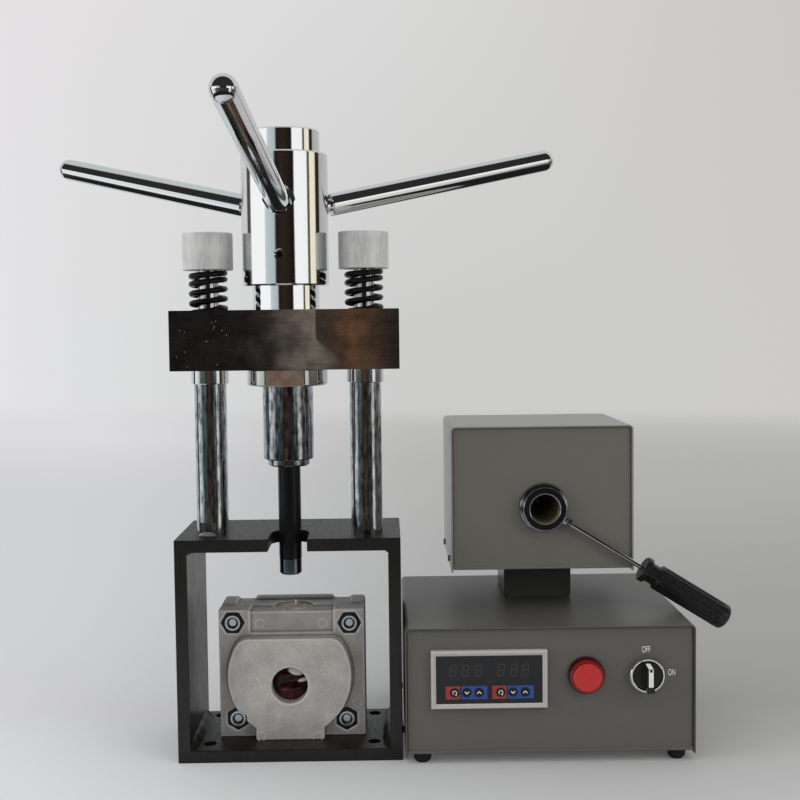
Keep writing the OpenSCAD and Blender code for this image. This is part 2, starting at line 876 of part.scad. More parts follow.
module flask_bolts() {
    color("#b7bcc0") at_bolts() difference() {
        union() {
            bar_y(0, flask_y - bolt_proud, 0, flask_bolt_d, flask_t + bolt_proud);
            hex_y(0, flask_rear, 0, flask_nut_af, bolt_head_t, 0);
        }
        translate([0, flask_y - bolt_proud, 0]) rotate([-90, 0, 0])
            cylinder(d1 = flask_bolt_d - 2*bolt_rim, d2 = flask_bolt_d - 2*bolt_rim - 2*bolt_cup,
                h = bolt_cup);
    }
}

module flask_nuts() {
    color("#19191a") at_bolts() difference() {
        hex_y(0, flask_y, 0, flask_nut_af, nut_t, 0);
        bar_y(0, flask_y - cut, 0, flask_bolt_d + 2*seat, nut_t + 2*cut);
    }
}

// Plaster in the flask, with the filling channel's domed end and a thin vent spike
module flask_investment() {
    top = flask_z + flask_h - panel_drop;
    color("#cdb9a6") {
        difference() {
            filling(-seat);
            bar_y(boss_x, boss_y, window_z, window_d + 2*seat, boss_t + plug_depth + 2*seat);
        }
        translate([0, sprue_y, top - 1]) rotate_extrude()
            polygon([[0, 0], [sprue_d/2 - seat, 0], [sprue_d/3, sprue_dome], [0, sprue_dome + 1]]);
        translate([spike_x, sprue_y, top + sprue_dome - 1])
            cylinder(d1 = spike_d, d2 = spike_tip_d, h = spike_h);
    }
}

// Domed plug behind the flask's window
module flask_core_plug() {
    plug_y = boss_y + plug_depth;
    color("#3a0f12") translate([boss_x, plug_y + plug_t, window_z]) rotate([90, 0, 0])
        rotate_extrude() polygon(concat([[0, plug_y + plug_t - flask_y - fill_front]],
            [[window_d/2 - seat, plug_y + plug_t - flask_y - fill_front]],
            [for (a = [0 : 15 : 90]) [(window_d/2 - seat)*cos(a), plug_t*sin(a)]]));
}

// Outline of a folded cover seen from the front: two walls and a roof with
// rounded bends
module cover_outline(w, h, r) {
    translate([0, 0]) square([w, h - r]);
    translate([r, 0]) square([w - 2*r, h]);
    for (x = [r, w - r]) translate([x, h - r]) circle(r = r);
}

module folded_cover(w, d, h) {
    translate([0, d, 0]) rotate([90, 0, 0]) linear_extrude(d) difference() {
        cover_outline(w, h, bend_r);
        translate([sheet, -cut]) cover_outline(w - 2*sheet, h - sheet + cut, bend_r - sheet);
    }
}

// Floor, front panel and back panel folded from one sheet, with a hem in front
module folded_tray(w, d, h) {
    inner = w - 2*sheet - 2*fold;
    translate([sheet + fold, recess, 0]) {
        cube([inner, d - 2*recess, sheet]);
        cube([inner, sheet, h]);
        translate([0, d - 2*recess - sheet, 0]) cube([inner, sheet, h]);
        for (x = [0, inner - sheet]) translate([x, 0, 0]) cube([sheet, d - 2*recess, flange_rise]);
        translate([0, hem_in - recess, 0]) cube([inner, recess, hem_h]);
    }
}

module control_tray() {
    color("#57574f") difference() {
        translate([box_x, box_y, hem_z]) folded_tray(box_w, box_d, box_panel_top - hem_z);
        block(bezel_x + (bezel_w - case_w)/2, box_y, bezel_z + (bezel_h - case_h)/2,
            case_w, recess + 2*sheet, case_h);
        for (x = [lamp_left, selector_left])
            bar_y(box_x + x, box_y, control_z, panel_hole + 2*seat, recess + 2*sheet);
        block(inlet_x - inlet_w/2, box_rear - recess - 2*sheet, inlet_z - inlet_h/2,
            inlet_w, recess + 2*sheet, inlet_h);
        side_screws(box_x, box_y, box_w, box_d, box_low, screw_shank_d + 2*fit, 3*sheet);
    }
}

// Screws through both side walls of a cover, two to a side, as plain cylinders
// that reach a depth into the wall
module side_screws(x, y, w, d, z, dia, depth) {
    for (side = [0, 1], along = screw_along)
        translate([x + side*w, y + along*d, z + screw_rise]) rotate([0, side ? -90 : 90, 0])
            translate([0, 0, -cut]) cylinder(d = dia, h = depth + cut);
}

module control_cover() {
    color("#8f9192") difference() {
        translate([box_x, box_y, box_low]) folded_cover(box_w, box_d, box_top - box_low);
        for (x = [-cut, box_w - sheet - cut])
            block(box_x + x, slot_y, slot_z, sheet + 2*cut, slot_l, slot_h);
        post(neck_x + neck_w/2, neck_y + neck_d/2, box_top - bend_r, wire_hole, bend_r + cut);
        side_screws(box_x, box_y, box_w, box_d, box_low, screw_shank_d + 2*fit, sheet + cut);
    }
}

module rubber_feet() {
    color("#121212") for (x = [foot_in_x, box_w - foot_in_x], y = [foot_in_y, box_d - foot_in_y])
        translate([box_x + x, box_y + y, 0]) rotate_extrude() polygon([[0, 0],
            [foot_d/2 - 3, 0], [foot_d/2 - 1, foot_h/4], [foot_d/2, foot_h], [0, foot_h]]);
}

// Outline of the neck from the front, with rounded lower corners
module neck_outline(w, h, r) {
    translate([0, r]) square([w, h - r]);
    translate([r, 0]) square([w - 2*r, h]);
    for (x = [r, w - r]) translate([x, r]) circle(r = r);
}

module furnace_neck() {
    color("#2c2d2b") translate([neck_x, neck_y, box_top]) difference() {
        translate([0, neck_d, 0]) rotate([90, 0, 0])
            linear_extrude(neck_d) neck_outline(neck_w, neck_h, neck_bend);
        block(neck_t, neck_t, neck_t, neck_w - 2*neck_t, neck_d - 2*neck_t, neck_h);
        post(neck_w/2, neck_d/2, -cut, wire_hole, neck_h);
    }
}

// The saddle on the floor carries the heating jacket
module furnace_tray() {
    color("#57574f") difference() {
        union() {
            translate([furnace_x, furnace_y, neck_top])
                folded_tray(furnace_w, furnace_d, furnace_top - sheet - fold - neck_top);
            block(tube_x - saddle_w/2, jacket_y, neck_top, saddle_w, jacket_l, tube_z - neck_top);
        }
        bar_y(tube_x, furnace_y - cut, tube_z, tube_d + 2*seat, recess + 2*sheet + cut);
        bar_y(tube_x, jacket_y - cut, tube_z, jacket_d + 2*seat, jacket_l + 2*cut);
        post(neck_x + neck_w - neck_t - wire_slot, neck_y + neck_d/2, neck_top - cut,
            wire_slot, sheet + 2*cut);
        side_screws(furnace_x, furnace_y, furnace_w, furnace_d, furnace_z,
            screw_shank_d + 2*fit, 3*sheet);
    }
}

module furnace_cover() {
    color("#8f9192") difference() {
        translate([furnace_x, furnace_y, furnace_z]) folded_cover(furnace_w, furnace_d, furnace_h);
        side_screws(furnace_x, furnace_y, furnace_w, furnace_d, furnace_z,
            screw_shank_d + 2*fit, sheet + cut);
    }
}

module furnace_tube() {
    color("#a9aaab") difference() {
        bar_y(tube_x, tube_y, tube_z, tube_d, tube_l);
        bar_y(tube_x, tube_y - cut, tube_z, cylinder_d + 2*fit, tube_l + 2*cut);
    }
}

module heating_jacket() {
    color("#d9d3c4") difference() {
        bar_y(tube_x, jacket_y, tube_z, jacket_d, jacket_l);
        bar_y(tube_x, jacket_y - cut, tube_z, tube_d + 2*seat, jacket_l + 2*cut);
    }
}

// Turns its children so that +Z runs out along the cylinder's handle
module along_grip() {
    translate([tube_x, rod_y, tube_z]) rotate([0, 90 + grip_slope, 0]) children();
}

module injection_cylinder() {
    color("#d7d8d9") difference() {
        union() {
            bar_y(tube_x, cylinder_y, tube_z, cylinder_d, cylinder_l);
            intersection() {
                along_grip() post(0, 0, 0, rod_boss_d, boss_end);
                block(tube_x, cylinder_y, 0, boss_end, tube_y - cylinder_y - run, furnace_top);
            }
        }
        bar_y(tube_x, cylinder_y - cut, tube_z, cylinder_bore, cylinder_l - nozzle_t + cut);
        bar_y(tube_x, cylinder_y, tube_z, nozzle_d, cylinder_l + cut);
        along_grip() post(0, 0, rod_in - 1, rod_d + 2*seat, boss_end);
    }
}

module handle_rod() {
    color("#c9cacc") along_grip() post(0, 0, rod_in, rod_d, grip_from + grip_socket - rod_in);
}

module handle_rod_nut() {
    color("#c3c7ca") along_grip() difference() {
        translate([0, 0, boss_end]) rotate([0, 0, 30])
            cylinder(d = rod_nut_af/cos(30), h = rod_nut_t, $fn = 6);
        post(0, 0, boss_end - cut, rod_d + 2*seat, rod_nut_t + 2*cut);
    }
}

module handle_grip() {
    r = grip_d/2;
    dome = r/2;
    collar_to = grip_from + collar_t;
    neck_to = collar_to + grip_neck;
    flute_from = neck_to + 4*grip_edge;
    color("#17181a") along_grip() difference() {
        rotate_extrude() polygon(concat([[0, grip_from], [r - grip_edge, grip_from],
            [r, grip_from + grip_edge], [r, collar_to - grip_edge], [r - grip_edge, collar_to],
            [grip_neck_d/2, collar_to], [grip_neck_d/2, neck_to], [r - 2*grip_edge, neck_to],
            [r, neck_to + 2*grip_edge]],
            [for (a = [0 : 15 : 90]) [r*cos(a), grip_to - dome + dome*sin(a)]]));
        for (i = [0 : flutes - 1]) rotate([0, 0, i*360/flutes])
            post(r + flute_out, 0, flute_from, flute_d, grip_to - 2*dome - flute_from);
        post(0, 0, grip_from - cut, rod_d + 2*seat, grip_socket + 2*cut);
    }
}

module controller_case() {
    color("#1c1d1e") block(bezel_x + (bezel_w - case_w)/2 + seat, panel_y,
        bezel_z + (bezel_h - case_h)/2 + seat, case_w - 2*seat, case_d, case_h - 2*seat);
}

module controller_bezel() {
    color("#c9c6c0") difference() {
        block(bezel_x, bezel_y, bezel_z, bezel_w, bezel_t, bezel_h);
        block(bezel_x + rim, bezel_y - cut, bezel_z + rim,
            bezel_w - 2*rim, bezel_t + 2*cut, bezel_h - 2*rim);
    }
}

// Places its children at the middle of a button, in the plane of the face
module at_button(group, i) {
    translate([bezel_x + first_button[group] + i*button_pitch, face_y, bezel_z + button_rise])
        children();
}

module controller_face() {
    color("#0d0e10") difference() {
        block(bezel_x + rim + seat, face_y, bezel_z + rim + seat,
            bezel_w - 2*rim - 2*seat, panel_y - face_y, bezel_h - 2*rim - 2*seat);
        for (group = [0, 1], i = [0 : 2])
            at_button(group, i) bar_y(0, -cut, 0, button_d + 2*button_gap, face_t + cut);
    }
}

module button(group, i) {
    color("#17181b") at_button(group, i) bar_y(0, -button_proud, 0, button_d, button_t);
}

module temperature_set_button() { button(0, 0); }
module temperature_down_button() { button(0, 1); }
module temperature_up_button() { button(0, 2); }
module time_set_button() { button(1, 0); }
module time_down_button() { button(1, 1); }
module time_up_button() { button(1, 2); }

module pilot_lamp_ring() {
    color("#1a1213") difference() {
        union() {
            bar_y(box_x + lamp_left, panel_y - lamp_ring_t, control_z, lamp_d, lamp_ring_t);
            bar_y(box_x + lamp_left, panel_y, control_z, panel_hole, barrel_l);
        }
        bar_y(box_x + lamp_left, panel_y - lamp_ring_t - cut, control_z,
            lens_d + 2*seat, lamp_ring_t - 1 + cut);
    }
}

// Stepped lens: a skirt in the ring, a shoulder and a smaller face
module pilot_lamp_lens() {
    color("#b3262a") translate([box_x + lamp_left, panel_y - 1, control_z]) rotate([90, 0, 0]) {
        turned(lens_d, lens_shoulder, 0, lens_edge);
        turned(lens_face_d, lens_t, 0, lens_edge);
    }
}

module selector_ring() {
    color("#c5c6c7") difference() {
        union() {
            translate([box_x + selector_left, panel_y, control_z]) rotate([90, 0, 0])
                turned(selector_d, selector_ring_t, 0, ring_edge);
            bar_y(box_x + selector_left, panel_y, control_z, panel_hole, barrel_l);
        }
        bar_y(box_x + selector_left, panel_y - selector_ring_t - cut, control_z,
            knob_d + 2*run, selector_ring_t - 1 + cut);
        bar_y(box_x + selector_left, panel_y - selector_ring_t, control_z,
            shaft_d + 2*fit, selector_ring_t + shaft_l);
    }
}

// The knob's bar points up at rest, to OFF
module selector_knob() {
    color("#161617") translate([box_x + selector_left, panel_y - 1, control_z]) {
        rotate([90, 0, 0]) turned(knob_d, knob_disc_t, 0, ring_edge);
        intersection() {
            rotate([90, 0, 0]) cylinder(d = knob_d - 2*ring_edge, h = knob_t);
            translate([-grip_bar_w/2, 0, 0]) rotate([90, 0, 90]) linear_extrude(grip_bar_w)
                polygon([[0, -grip_bar_down], [0, grip_bar_up],
                    [-knob_t, grip_bar_up - grip_bar_slant], [-knob_t, -grip_bar_down]]);
        }
        bar_y(0, 0, 0, shaft_d, shaft_l);
    }
}

module power_inlet() {
    face = box_rear - recess;
    color("#161617") difference() {
        union() {
            block(inlet_x - inlet_w/2 - inlet_flange, face, inlet_z - inlet_h/2 - inlet_lip,
                inlet_w + 2*inlet_flange, inlet_lip, inlet_h + 2*inlet_lip);
            block(inlet_x - inlet_w/2 + seat, face - inlet_t, inlet_z - inlet_h/2 + seat,
                inlet_w - 2*seat, inlet_t, inlet_h - 2*seat);
        }
        block(inlet_x - inlet_w/2 + inlet_wall, face - inlet_t + inlet_wall + 1,
            inlet_z - inlet_h/2 + inlet_wall, inlet_w - 2*inlet_wall, inlet_t + inlet_lip,
            inlet_h - 2*inlet_wall);
    }
}

// Pan head screws in the side walls of both covers
module pan_screw() {
    translate([0, 0, -screw_head_h]) turned(screw_head_d, screw_head_h, 0.8, 0);
    cylinder(d = screw_shank_d, h = screw_in);
}

module wall_screws(x, y, w, d, z) {
    for (side = [0, 1], along = screw_along)
        translate([x + side*w, y + along*d, z + screw_rise])
            rotate([0, side ? -90 : 90, 0]) pan_screw();
}

module cover_screws() {
    color("#6f7173") {
        wall_screws(furnace_x, furnace_y, furnace_w, furnace_d, furnace_z);
        wall_screws(box_x, box_y, box_w, box_d, box_low);
    }
}

base_plate();
top_plate();
left_side_plate();
right_side_plate();
weld_beads();
left_column();
right_column();
left_collar();
right_collar();
left_spring();
right_spring();
left_cap_nut();
right_cap_nut();
crosshead();
thrust_bearing();
flange_nut();
guide_tube();
guide_end_ring();
hub();
hub_cap();
hub_nut();
hub_lock_screw();
front_handle();
left_handle();
right_handle();
ram_spindle();
ram_tip();
flask_front_half();
flask_back_half();
flask_bolts();
flask_nuts();
flask_investment();
flask_core_plug();
control_tray();
control_cover();
rubber_feet();
furnace_neck();
furnace_tray();
furnace_cover();
furnace_tube();
heating_jacket();
injection_cylinder();
handle_rod();
handle_rod_nut();
handle_grip();
controller_case();
controller_bezel();
controller_face();
temperature_set_button();
temperature_down_button();
temperature_up_button();
time_set_button();
time_down_button();
time_up_button();
pilot_lamp_ring();
pilot_lamp_lens();
selector_ring();
selector_knob();
power_inlet();
cover_screws();
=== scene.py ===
# A hand-turned injection press for casting flasks, with its bench heater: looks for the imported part.
# Metres, in the part's own frame: +X right, +Y away from the front, +Z up, origin under the ram.
import json
import math
import random
import bpy
import bmesh
from mathutils import Matrix, Vector, noise as mathNoise

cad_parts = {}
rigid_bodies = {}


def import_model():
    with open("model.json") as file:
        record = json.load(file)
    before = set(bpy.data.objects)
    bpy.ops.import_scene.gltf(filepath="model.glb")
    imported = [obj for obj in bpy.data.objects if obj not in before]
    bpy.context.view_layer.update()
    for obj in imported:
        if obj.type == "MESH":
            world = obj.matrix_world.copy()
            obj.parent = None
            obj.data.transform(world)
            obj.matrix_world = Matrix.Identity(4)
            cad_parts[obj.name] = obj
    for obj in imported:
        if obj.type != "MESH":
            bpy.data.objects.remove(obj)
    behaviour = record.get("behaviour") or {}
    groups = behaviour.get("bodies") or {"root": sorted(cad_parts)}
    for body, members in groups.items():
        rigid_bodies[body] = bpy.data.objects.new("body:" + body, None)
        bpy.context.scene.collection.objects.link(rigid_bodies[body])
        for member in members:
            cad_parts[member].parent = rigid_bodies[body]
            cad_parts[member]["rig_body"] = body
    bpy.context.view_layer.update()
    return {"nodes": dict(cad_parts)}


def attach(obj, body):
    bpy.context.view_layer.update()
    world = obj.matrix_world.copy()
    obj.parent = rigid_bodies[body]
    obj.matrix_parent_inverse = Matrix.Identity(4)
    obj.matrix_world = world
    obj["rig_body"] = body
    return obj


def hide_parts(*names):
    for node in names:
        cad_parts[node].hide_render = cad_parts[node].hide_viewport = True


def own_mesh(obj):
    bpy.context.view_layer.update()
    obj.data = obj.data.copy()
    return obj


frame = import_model()
nodes = frame["nodes"]
mm = 0.001


def colour(hexText):
    # sRGB hex to linear RGBA
    parts = [int(hexText[i:i + 2], 16)/255 for i in (1, 3, 5)]
    return [c/12.92 if c <= 0.04045 else ((c + 0.055)/1.055)**2.4 for c in parts] + [1.0]


def outputOf(value):
    # A node stands for its first output in use
    if isinstance(value, bpy.types.Node):
        return next(output for output in value.outputs if output.enabled)
    return value


def link(tree, value, node, name):
    tree.links.new(outputOf(value), node.inputs[name])


def addNode(tree, kind, *inputs, **settings):
    # One node with its settings and, in order, its inputs: each a value, a hex colour, or a node or socket to link
    node = tree.nodes.new("ShaderNode" + kind)
    stops = settings.pop("stops", ())
    for name, value in settings.items():
        setattr(node, name, value)
    if stops:
        elements = node.color_ramp.elements
        while len(elements) > 1:
            elements.remove(elements[-1])
        for i, (place, tint) in enumerate(stops):
            stop = elements[0] if i == 0 else elements.new(place)
            stop.position = place
            stop.color = colour(tint)
    for socket, value in zip([each for each in node.inputs if each.enabled], inputs):
        source = outputOf(value)
        if isinstance(source, bpy.types.NodeSocket):
            tree.links.new(source, socket)
        else:
            socket.default_value = colour(value) if isinstance(value, str) else value
    return node


def newObject(name, data):
    obj = bpy.data.objects.new(name, data)
    bpy.context.scene.collection.objects.link(obj)
    return obj


def deselect():
    bpy.ops.object.select_all(action="DESELECT")


def freeze():
    # Puts the selected object's place, turn and size into its mesh
    bpy.ops.object.transform_apply(location=True, rotation=True, scale=True)


# The span that most of a noise texture keeps to, and soft ends for a change between two values
usual = (0.3, 0.7)
soft = {"interpolation_type": "SMOOTHSTEP"}


def startMaterial(name, metallic, roughness, others=None):
    material = bpy.data.materials.new(name)
    material.use_nodes = True
    tree = material.node_tree
    shader = tree.nodes["Principled BSDF"]
    for key, value in {"Metallic": metallic, "Roughness": roughness, **(others or {})}.items():
        shader.inputs[key].default_value = value
    place = addNode(tree, "TexCoord").outputs["Object"]
    return material, tree, shader, place


def grain(size):
    # Texture scale for a feature of this many millimetres
    return 1000/size


def weather(tree, shader, height, depth, strength, pattern=None, smoothest=0, roughest=1):
    # Relief up to a depth in millimetres, and roughness that follows a pattern
    bump = addNode(tree, "Bump", strength, depth*mm)
    link(tree, height, bump, "Height")
    link(tree, bump, shader, "Normal")
    if pattern:
        link(tree, addNode(tree, "MapRange", pattern, *usual, smoothest, roughest), shader, "Roughness")


# Stage: the camera stands where the photograph was taken from
stage = {"cameraAt": (0.08426, -1.06842, 0.36425), "yaw": -0.0103, "pitch": -0.0597,
         "roll": 0.0117, "lens": 56.567, "floorSize": 11.0, "floorBack": 5.2}

camera = newObject("camera", bpy.data.cameras.new("camera"))
camera.data.lens = stage["lens"]
camera.data.sensor_width = 36
camera.data.clip_end = 50
camera.matrix_world = (Matrix.Translation(stage["cameraAt"])
                       @ Matrix.Rotation(stage["yaw"], 4, "Z")
                       @ Matrix.Rotation(stage["pitch"], 4, "X")
                       @ Matrix.Rotation(stage["roll"], 4, "Y")
                       @ Matrix.Rotation(math.pi/2, 4, "X"))
bpy.context.scene.camera = camera
print("camera placed")

# Studio paper: matt, its colour carrying painted light and shade: paler on the left and further back, and a painted
# shadow that makes it greyer behind and beside the heater
paper = {"left": [(0.03, "#ced0d1"), (0.10, "#cacace"), (0.24, "#cecfd3"), (0.54, "#dadbdf"), (1, "#f0eff4")],
         "right": [(0, "#b6b6b6"), (0.03, "#b0b0b0"), (0.10, "#9c9d9a"), (0.24, "#a2a2a1"), (0.54, "#b9b9b7"),
                   (1, "#c9c9c7")],
         "leftX": -0.3, "leftSlope": -0.22, "rightX": 0.36, "nearFar": (-0.2, 3.0), "lift": 0.16,
         "metalSeesTo": 0.62, "fadeLean": 0.267, "fade": (3.0, 4.7)}
deselect()
bpy.ops.mesh.primitive_plane_add(size=1, location=(0, 0, 0))
floor = bpy.context.active_object
floor.name = "floor"
floor.data.transform(Matrix.Translation((0, stage["floorBack"] - stage["floorSize"]/2, 0))
                     @ Matrix.Diagonal((stage["floorSize"], stage["floorSize"], 1, 1)))
material, tree, shader, place = startMaterial("studioPaper", 0, 0.9, {"Specular IOR Level": 0})
split = addNode(tree, "SeparateXYZ", place).outputs
leftEdge = addNode(tree, "Math", split["Y"], paper["leftSlope"], paper["leftX"], operation="MULTIPLY_ADD")
across = addNode(tree, "MapRange", split["X"], leftEdge, paper["rightX"], **soft)
away = addNode(tree, "MapRange", split["Y"], *paper["nearFar"])
tints = [addNode(tree, "ValToRGB", away, stops=paper[side]) for side in ("left", "right")]
paperPaintedLightAndShade = addNode(tree, "Mix", across, *tints, data_type="RGBA")
link(tree, paperPaintedLightAndShade, shader, "Base Color")
# The camera sees the paper a little brighter than the object does
lightPath = addNode(tree, "LightPath")
lift = addNode(tree, "Math", lightPath.outputs["Is Camera Ray"], paper["lift"], operation="MULTIPLY")
link(tree, paperPaintedLightAndShade, shader, "Emission Color")
link(tree, lift, shader, "Emission Strength")
# Metal sees the studio past the table, so the paper ends there for reflections; it fades into the wall too
reach = addNode(tree, "VectorMath", place, operation="LENGTH")
past = addNode(tree, "Math", reach, paper["metalSeesTo"], operation="GREATER_THAN")
hidden = addNode(tree, "Math", past, lightPath.outputs["Is Glossy Ray"], operation="MULTIPLY")
lean = addNode(tree, "Math", split["X"], paper["fadeLean"], split["Y"], operation="MULTIPLY_ADD")
fade = addNode(tree, "MapRange", lean, *paper["fade"], **soft)
gone = addNode(tree, "Math", hidden, fade, operation="MAXIMUM")
mix = addNode(tree, "MixShader", gone, shader, addNode(tree, "BsdfTransparent"))
link(tree, mix, tree.nodes["Material Output"], "Surface")
floor.data.materials.append(material)

# The room as metal sees it, by azimuth from straight behind the camera (negative is left)
roomBands = [(-180, "#c9c9c9"), (-114, "#d2d2d2"), (-112, "#57524d"), (-99, "#4a4642"),
             (-95, "#ffffff"), (-52, "#ffffff"), (-49, "#c4cfd3"), (-25, "#b3bec2"),
             (-20, "#1f1916"), (-4, "#2c231d"), (10, "#281f19"), (28, "#15110e"), (31, "#ffffff"),
             (65, "#fbfbf8"), (67, "#5d5344"), (72, "#4a4234"), (75, "#f6efda"), (91, "#efe8d2"),
             (94, "#2b221c"), (106, "#2b221c"), (110, "#b0b0ae"), (180, "#c9c9c9")]
# The same room lower down, as the columns see it: a dark bench edge, brown in the middle
lowBands = [(-180, "#c9d2d4"), (-112, "#c0c9cc"), (-110, "#2a2d2c"), (-97, "#2f3232"), (-93, "#f2f4f5"),
            (-64, "#b9bec0"), (-54, "#4a5350"), (-24, "#3a4442"), (-20, "#3a2c26"), (-6, "#4a382d"),
            (9, "#3f3029"), (12, "#2c2f2f"), (46, "#35393a"), (50, "#e2e2da"), (64, "#d2d2c8"),
            (70, "#4d4f50"), (86, "#4a4b4d"), (112, "#6f6f72"), (122, "#a9a9ad"), (180, "#c9c9c9")]
# Where the room changes, in the way a ray goes: from and to, by its Z, Y or X
roomEdges = {"bench": (-0.005, -0.035), "ceiling": (0.17, 0.24), "floor": (-0.40, -0.48), "behind": (0.05, 0.14),
             "wallAcross": (-0.30, 0.32), "wallDown": (0.25, 0.0)}
world = bpy.data.worlds.new("studio")
bpy.context.scene.world = world
world.use_nodes = True
tree = world.node_tree
tree.nodes.clear()
way = addNode(tree, "TexCoord").outputs["Generated"]
split = addNode(tree, "SeparateXYZ", way).outputs
back = addNode(tree, "Math", split["Y"], -1.0, operation="MULTIPLY")
turn = addNode(tree, "Math", split["X"], back, operation="ARCTAN2")
share = addNode(tree, "Math", turn, 0.5/math.pi, 0.5, operation="MULTIPLY_ADD")
bands = addNode(tree, "ValToRGB", share, stops=[((a + 180)/360, tint) for a, tint in roomBands])
lowRoom = addNode(tree, "ValToRGB", share, stops=[((a + 180)/360, tint) for a, tint in lowBands])
lowness = addNode(tree, "MapRange", split["Z"], *roomEdges["bench"], **soft)
walls = addNode(tree, "Mix", lowness, bands, lowRoom, data_type="RGBA")
# A dark ceiling over the lamps, open to the pale wall behind, and the dark floor past the bench
ceiling = addNode(tree, "MapRange", split["Z"], *roomEdges["ceiling"], **soft)
behind = addNode(tree, "MapRange", split["Y"], *roomEdges["behind"], **soft)
above = addNode(tree, "Mix", behind, "#2b2a29", "#c4c9c8", data_type="RGBA")
roofed = addNode(tree, "Mix", ceiling, walls, above, data_type="RGBA")
underfoot = addNode(tree, "MapRange", split["Z"], *roomEdges["floor"], **soft)
room = addNode(tree, "Mix", underfoot, roofed, "#1f1e1e", data_type="RGBA")
# What the camera sees past the paper: a pale wall, warmer and greyer to the right
wallAcross = addNode(tree, "MapRange", split["X"], *roomEdges["wallAcross"])
wallDown = addNode(tree, "MapRange", split["Z"], *roomEdges["wallDown"])
wallTints = [addNode(tree, "ValToRGB", wallAcross, stops=stops)
             for stops in ([(0, "#e5e2e4"), (0.45, "#dadada"), (1, "#c9c7c4")],
                           [(0, "#e4e4e6"), (0.45, "#cdcecd"), (1, "#cccbc7")])]
wall = addNode(tree, "Mix", wallDown, *wallTints, data_type="RGBA")
lightPath = addNode(tree, "LightPath")
unseen = addNode(tree, "Mix", lightPath.outputs["Is Glossy Ray"], "#d2d2d2", room, data_type="RGBA")
seen = addNode(tree, "Mix", lightPath.outputs["Is Camera Ray"], unseen, wall, data_type="RGBA")
addNode(tree, "OutputWorld", addNode(tree, "Background", seen, 1.0))

lamps = {"left": {"at": (-1.45, -0.55, 0.75), "aim": (0, 0, 0.22), "size": 1.1, "watts": 8.5},
         "right": {"at": (1.15, -1.1, 0.75), "aim": (0.1, 0, 0.2), "size": 0.8, "watts": 5.0},
         "above": {"at": (-0.1, -0.2, 1.8), "aim": (0.1, 0, 0.2), "size": 1.4, "watts": 6.0}}
for name, lamp in lamps.items():
    light = newObject(name + "Softbox", bpy.data.lights.new(name + "Softbox", "AREA"))
    light.data.size = lamp["size"]
    light.data.energy = lamp["watts"]
    light.location = lamp["at"]
    light.rotation_euler = (Vector(lamp["aim"]) - Vector(lamp["at"])).to_track_quat("-Z", "Y").to_euler()
    light.visible_glossy = False
    light.visible_camera = False
print("stage, world and lamps placed")


# Chrome plate: mirror bright, with faint waves left by the buffing wheel and fine wipe marks
def chromePlate(name, tint, wipes, rough):
    material, tree, shader, place = startMaterial(name, 1, rough, {"Base Color": colour(tint)})
    waves = addNode(tree, "TexNoise", place, grain(11), 3)
    drawn = addNode(tree, "VectorMath", place, (1, 1, 1/wipes), operation="MULTIPLY")
    marks = addNode(tree, "TexNoise", drawn, grain(1.2), 5)
    both = addNode(tree, "Math", marks, 0.06, waves, operation="MULTIPLY_ADD")
    weather(tree, shader, both, 0.06, 0.25, marks, rough*0.6, rough*2.2)
    return material


# Old chrome on ground steel: bright, clouded and speckled with wear, finely scratched down its length
def wornChrome(name, stops, rough):
    material, tree, shader, place = startMaterial(name, 1, rough)
    long = addNode(tree, "VectorMath", place, (1, 1, 1/16), operation="MULTIPLY")
    streaks = addNode(tree, "TexNoise", long, grain(1.3), 6)
    short = addNode(tree, "VectorMath", place, (1, 1, 1/3), operation="MULTIPLY")
    specks = addNode(tree, "TexNoise", short, grain(3.2), 8)
    both = addNode(tree, "Math", streaks, 0.35, specks, operation="MULTIPLY_ADD")
    link(tree, addNode(tree, "ValToRGB", both, stops=stops), shader, "Base Color")
    weather(tree, shader, streaks, 0.04, 0.12, streaks, rough*0.6, rough*2.2)
    return material


# Baked enamel on steel plate: satin black, with brushed streaks under it and a fine orange peel
def blackEnamel(name, gloss, rough):
    material, tree, shader, place = startMaterial(name, 0, rough, {"Specular IOR Level": gloss})
    clouds = addNode(tree, "TexNoise", place, grain(26), 6)
    tint = addNode(tree, "ValToRGB", clouds, stops=[(0.3, "#0e0d0c"), (0.55, "#141210"), (0.75, "#1e1b18")])
    link(tree, tint, shader, "Base Color")
    long = addNode(tree, "VectorMath", place, (1, 1, 1/14), operation="MULTIPLY")
    streaks = addNode(tree, "TexNoise", long, grain(1.6), 4)
    peel = addNode(tree, "TexNoise", place, grain(2.2), 2)
    both = addNode(tree, "Math", peel, streaks, operation="ADD")
    weather(tree, shader, both, 0.05, 0.35, streaks, rough*0.75, rough*1.35)
    return material


# Cold-blued steel block: black on the left, a grey patch in the middle that is a painted reflection, oily rust
# brown on the right
blueing = {"left": [(0, "#1e1c18"), (0.33, "#221f1b"), (0.42, "#37322c"), (0.5, "#5c554c"), (0.62, "#7a7266"),
                    (1, "#7a7266")],
           "right": [(0, "#42382f"), (0.66, "#453a30"), (0.73, "#4b3b2f"), (0.80, "#6b4a33"), (0.87, "#57402f"),
                     (0.95, "#3a2d25"), (1, "#2c2621")],
           "reflectionEdgeX": 0.0258, "blurZ": (0.354, 0.336), "blurX": (0.0264, 0.052), "wander": 0.036,
           "zones": (-0.077, 0.113), "flakesEnd": -0.047}


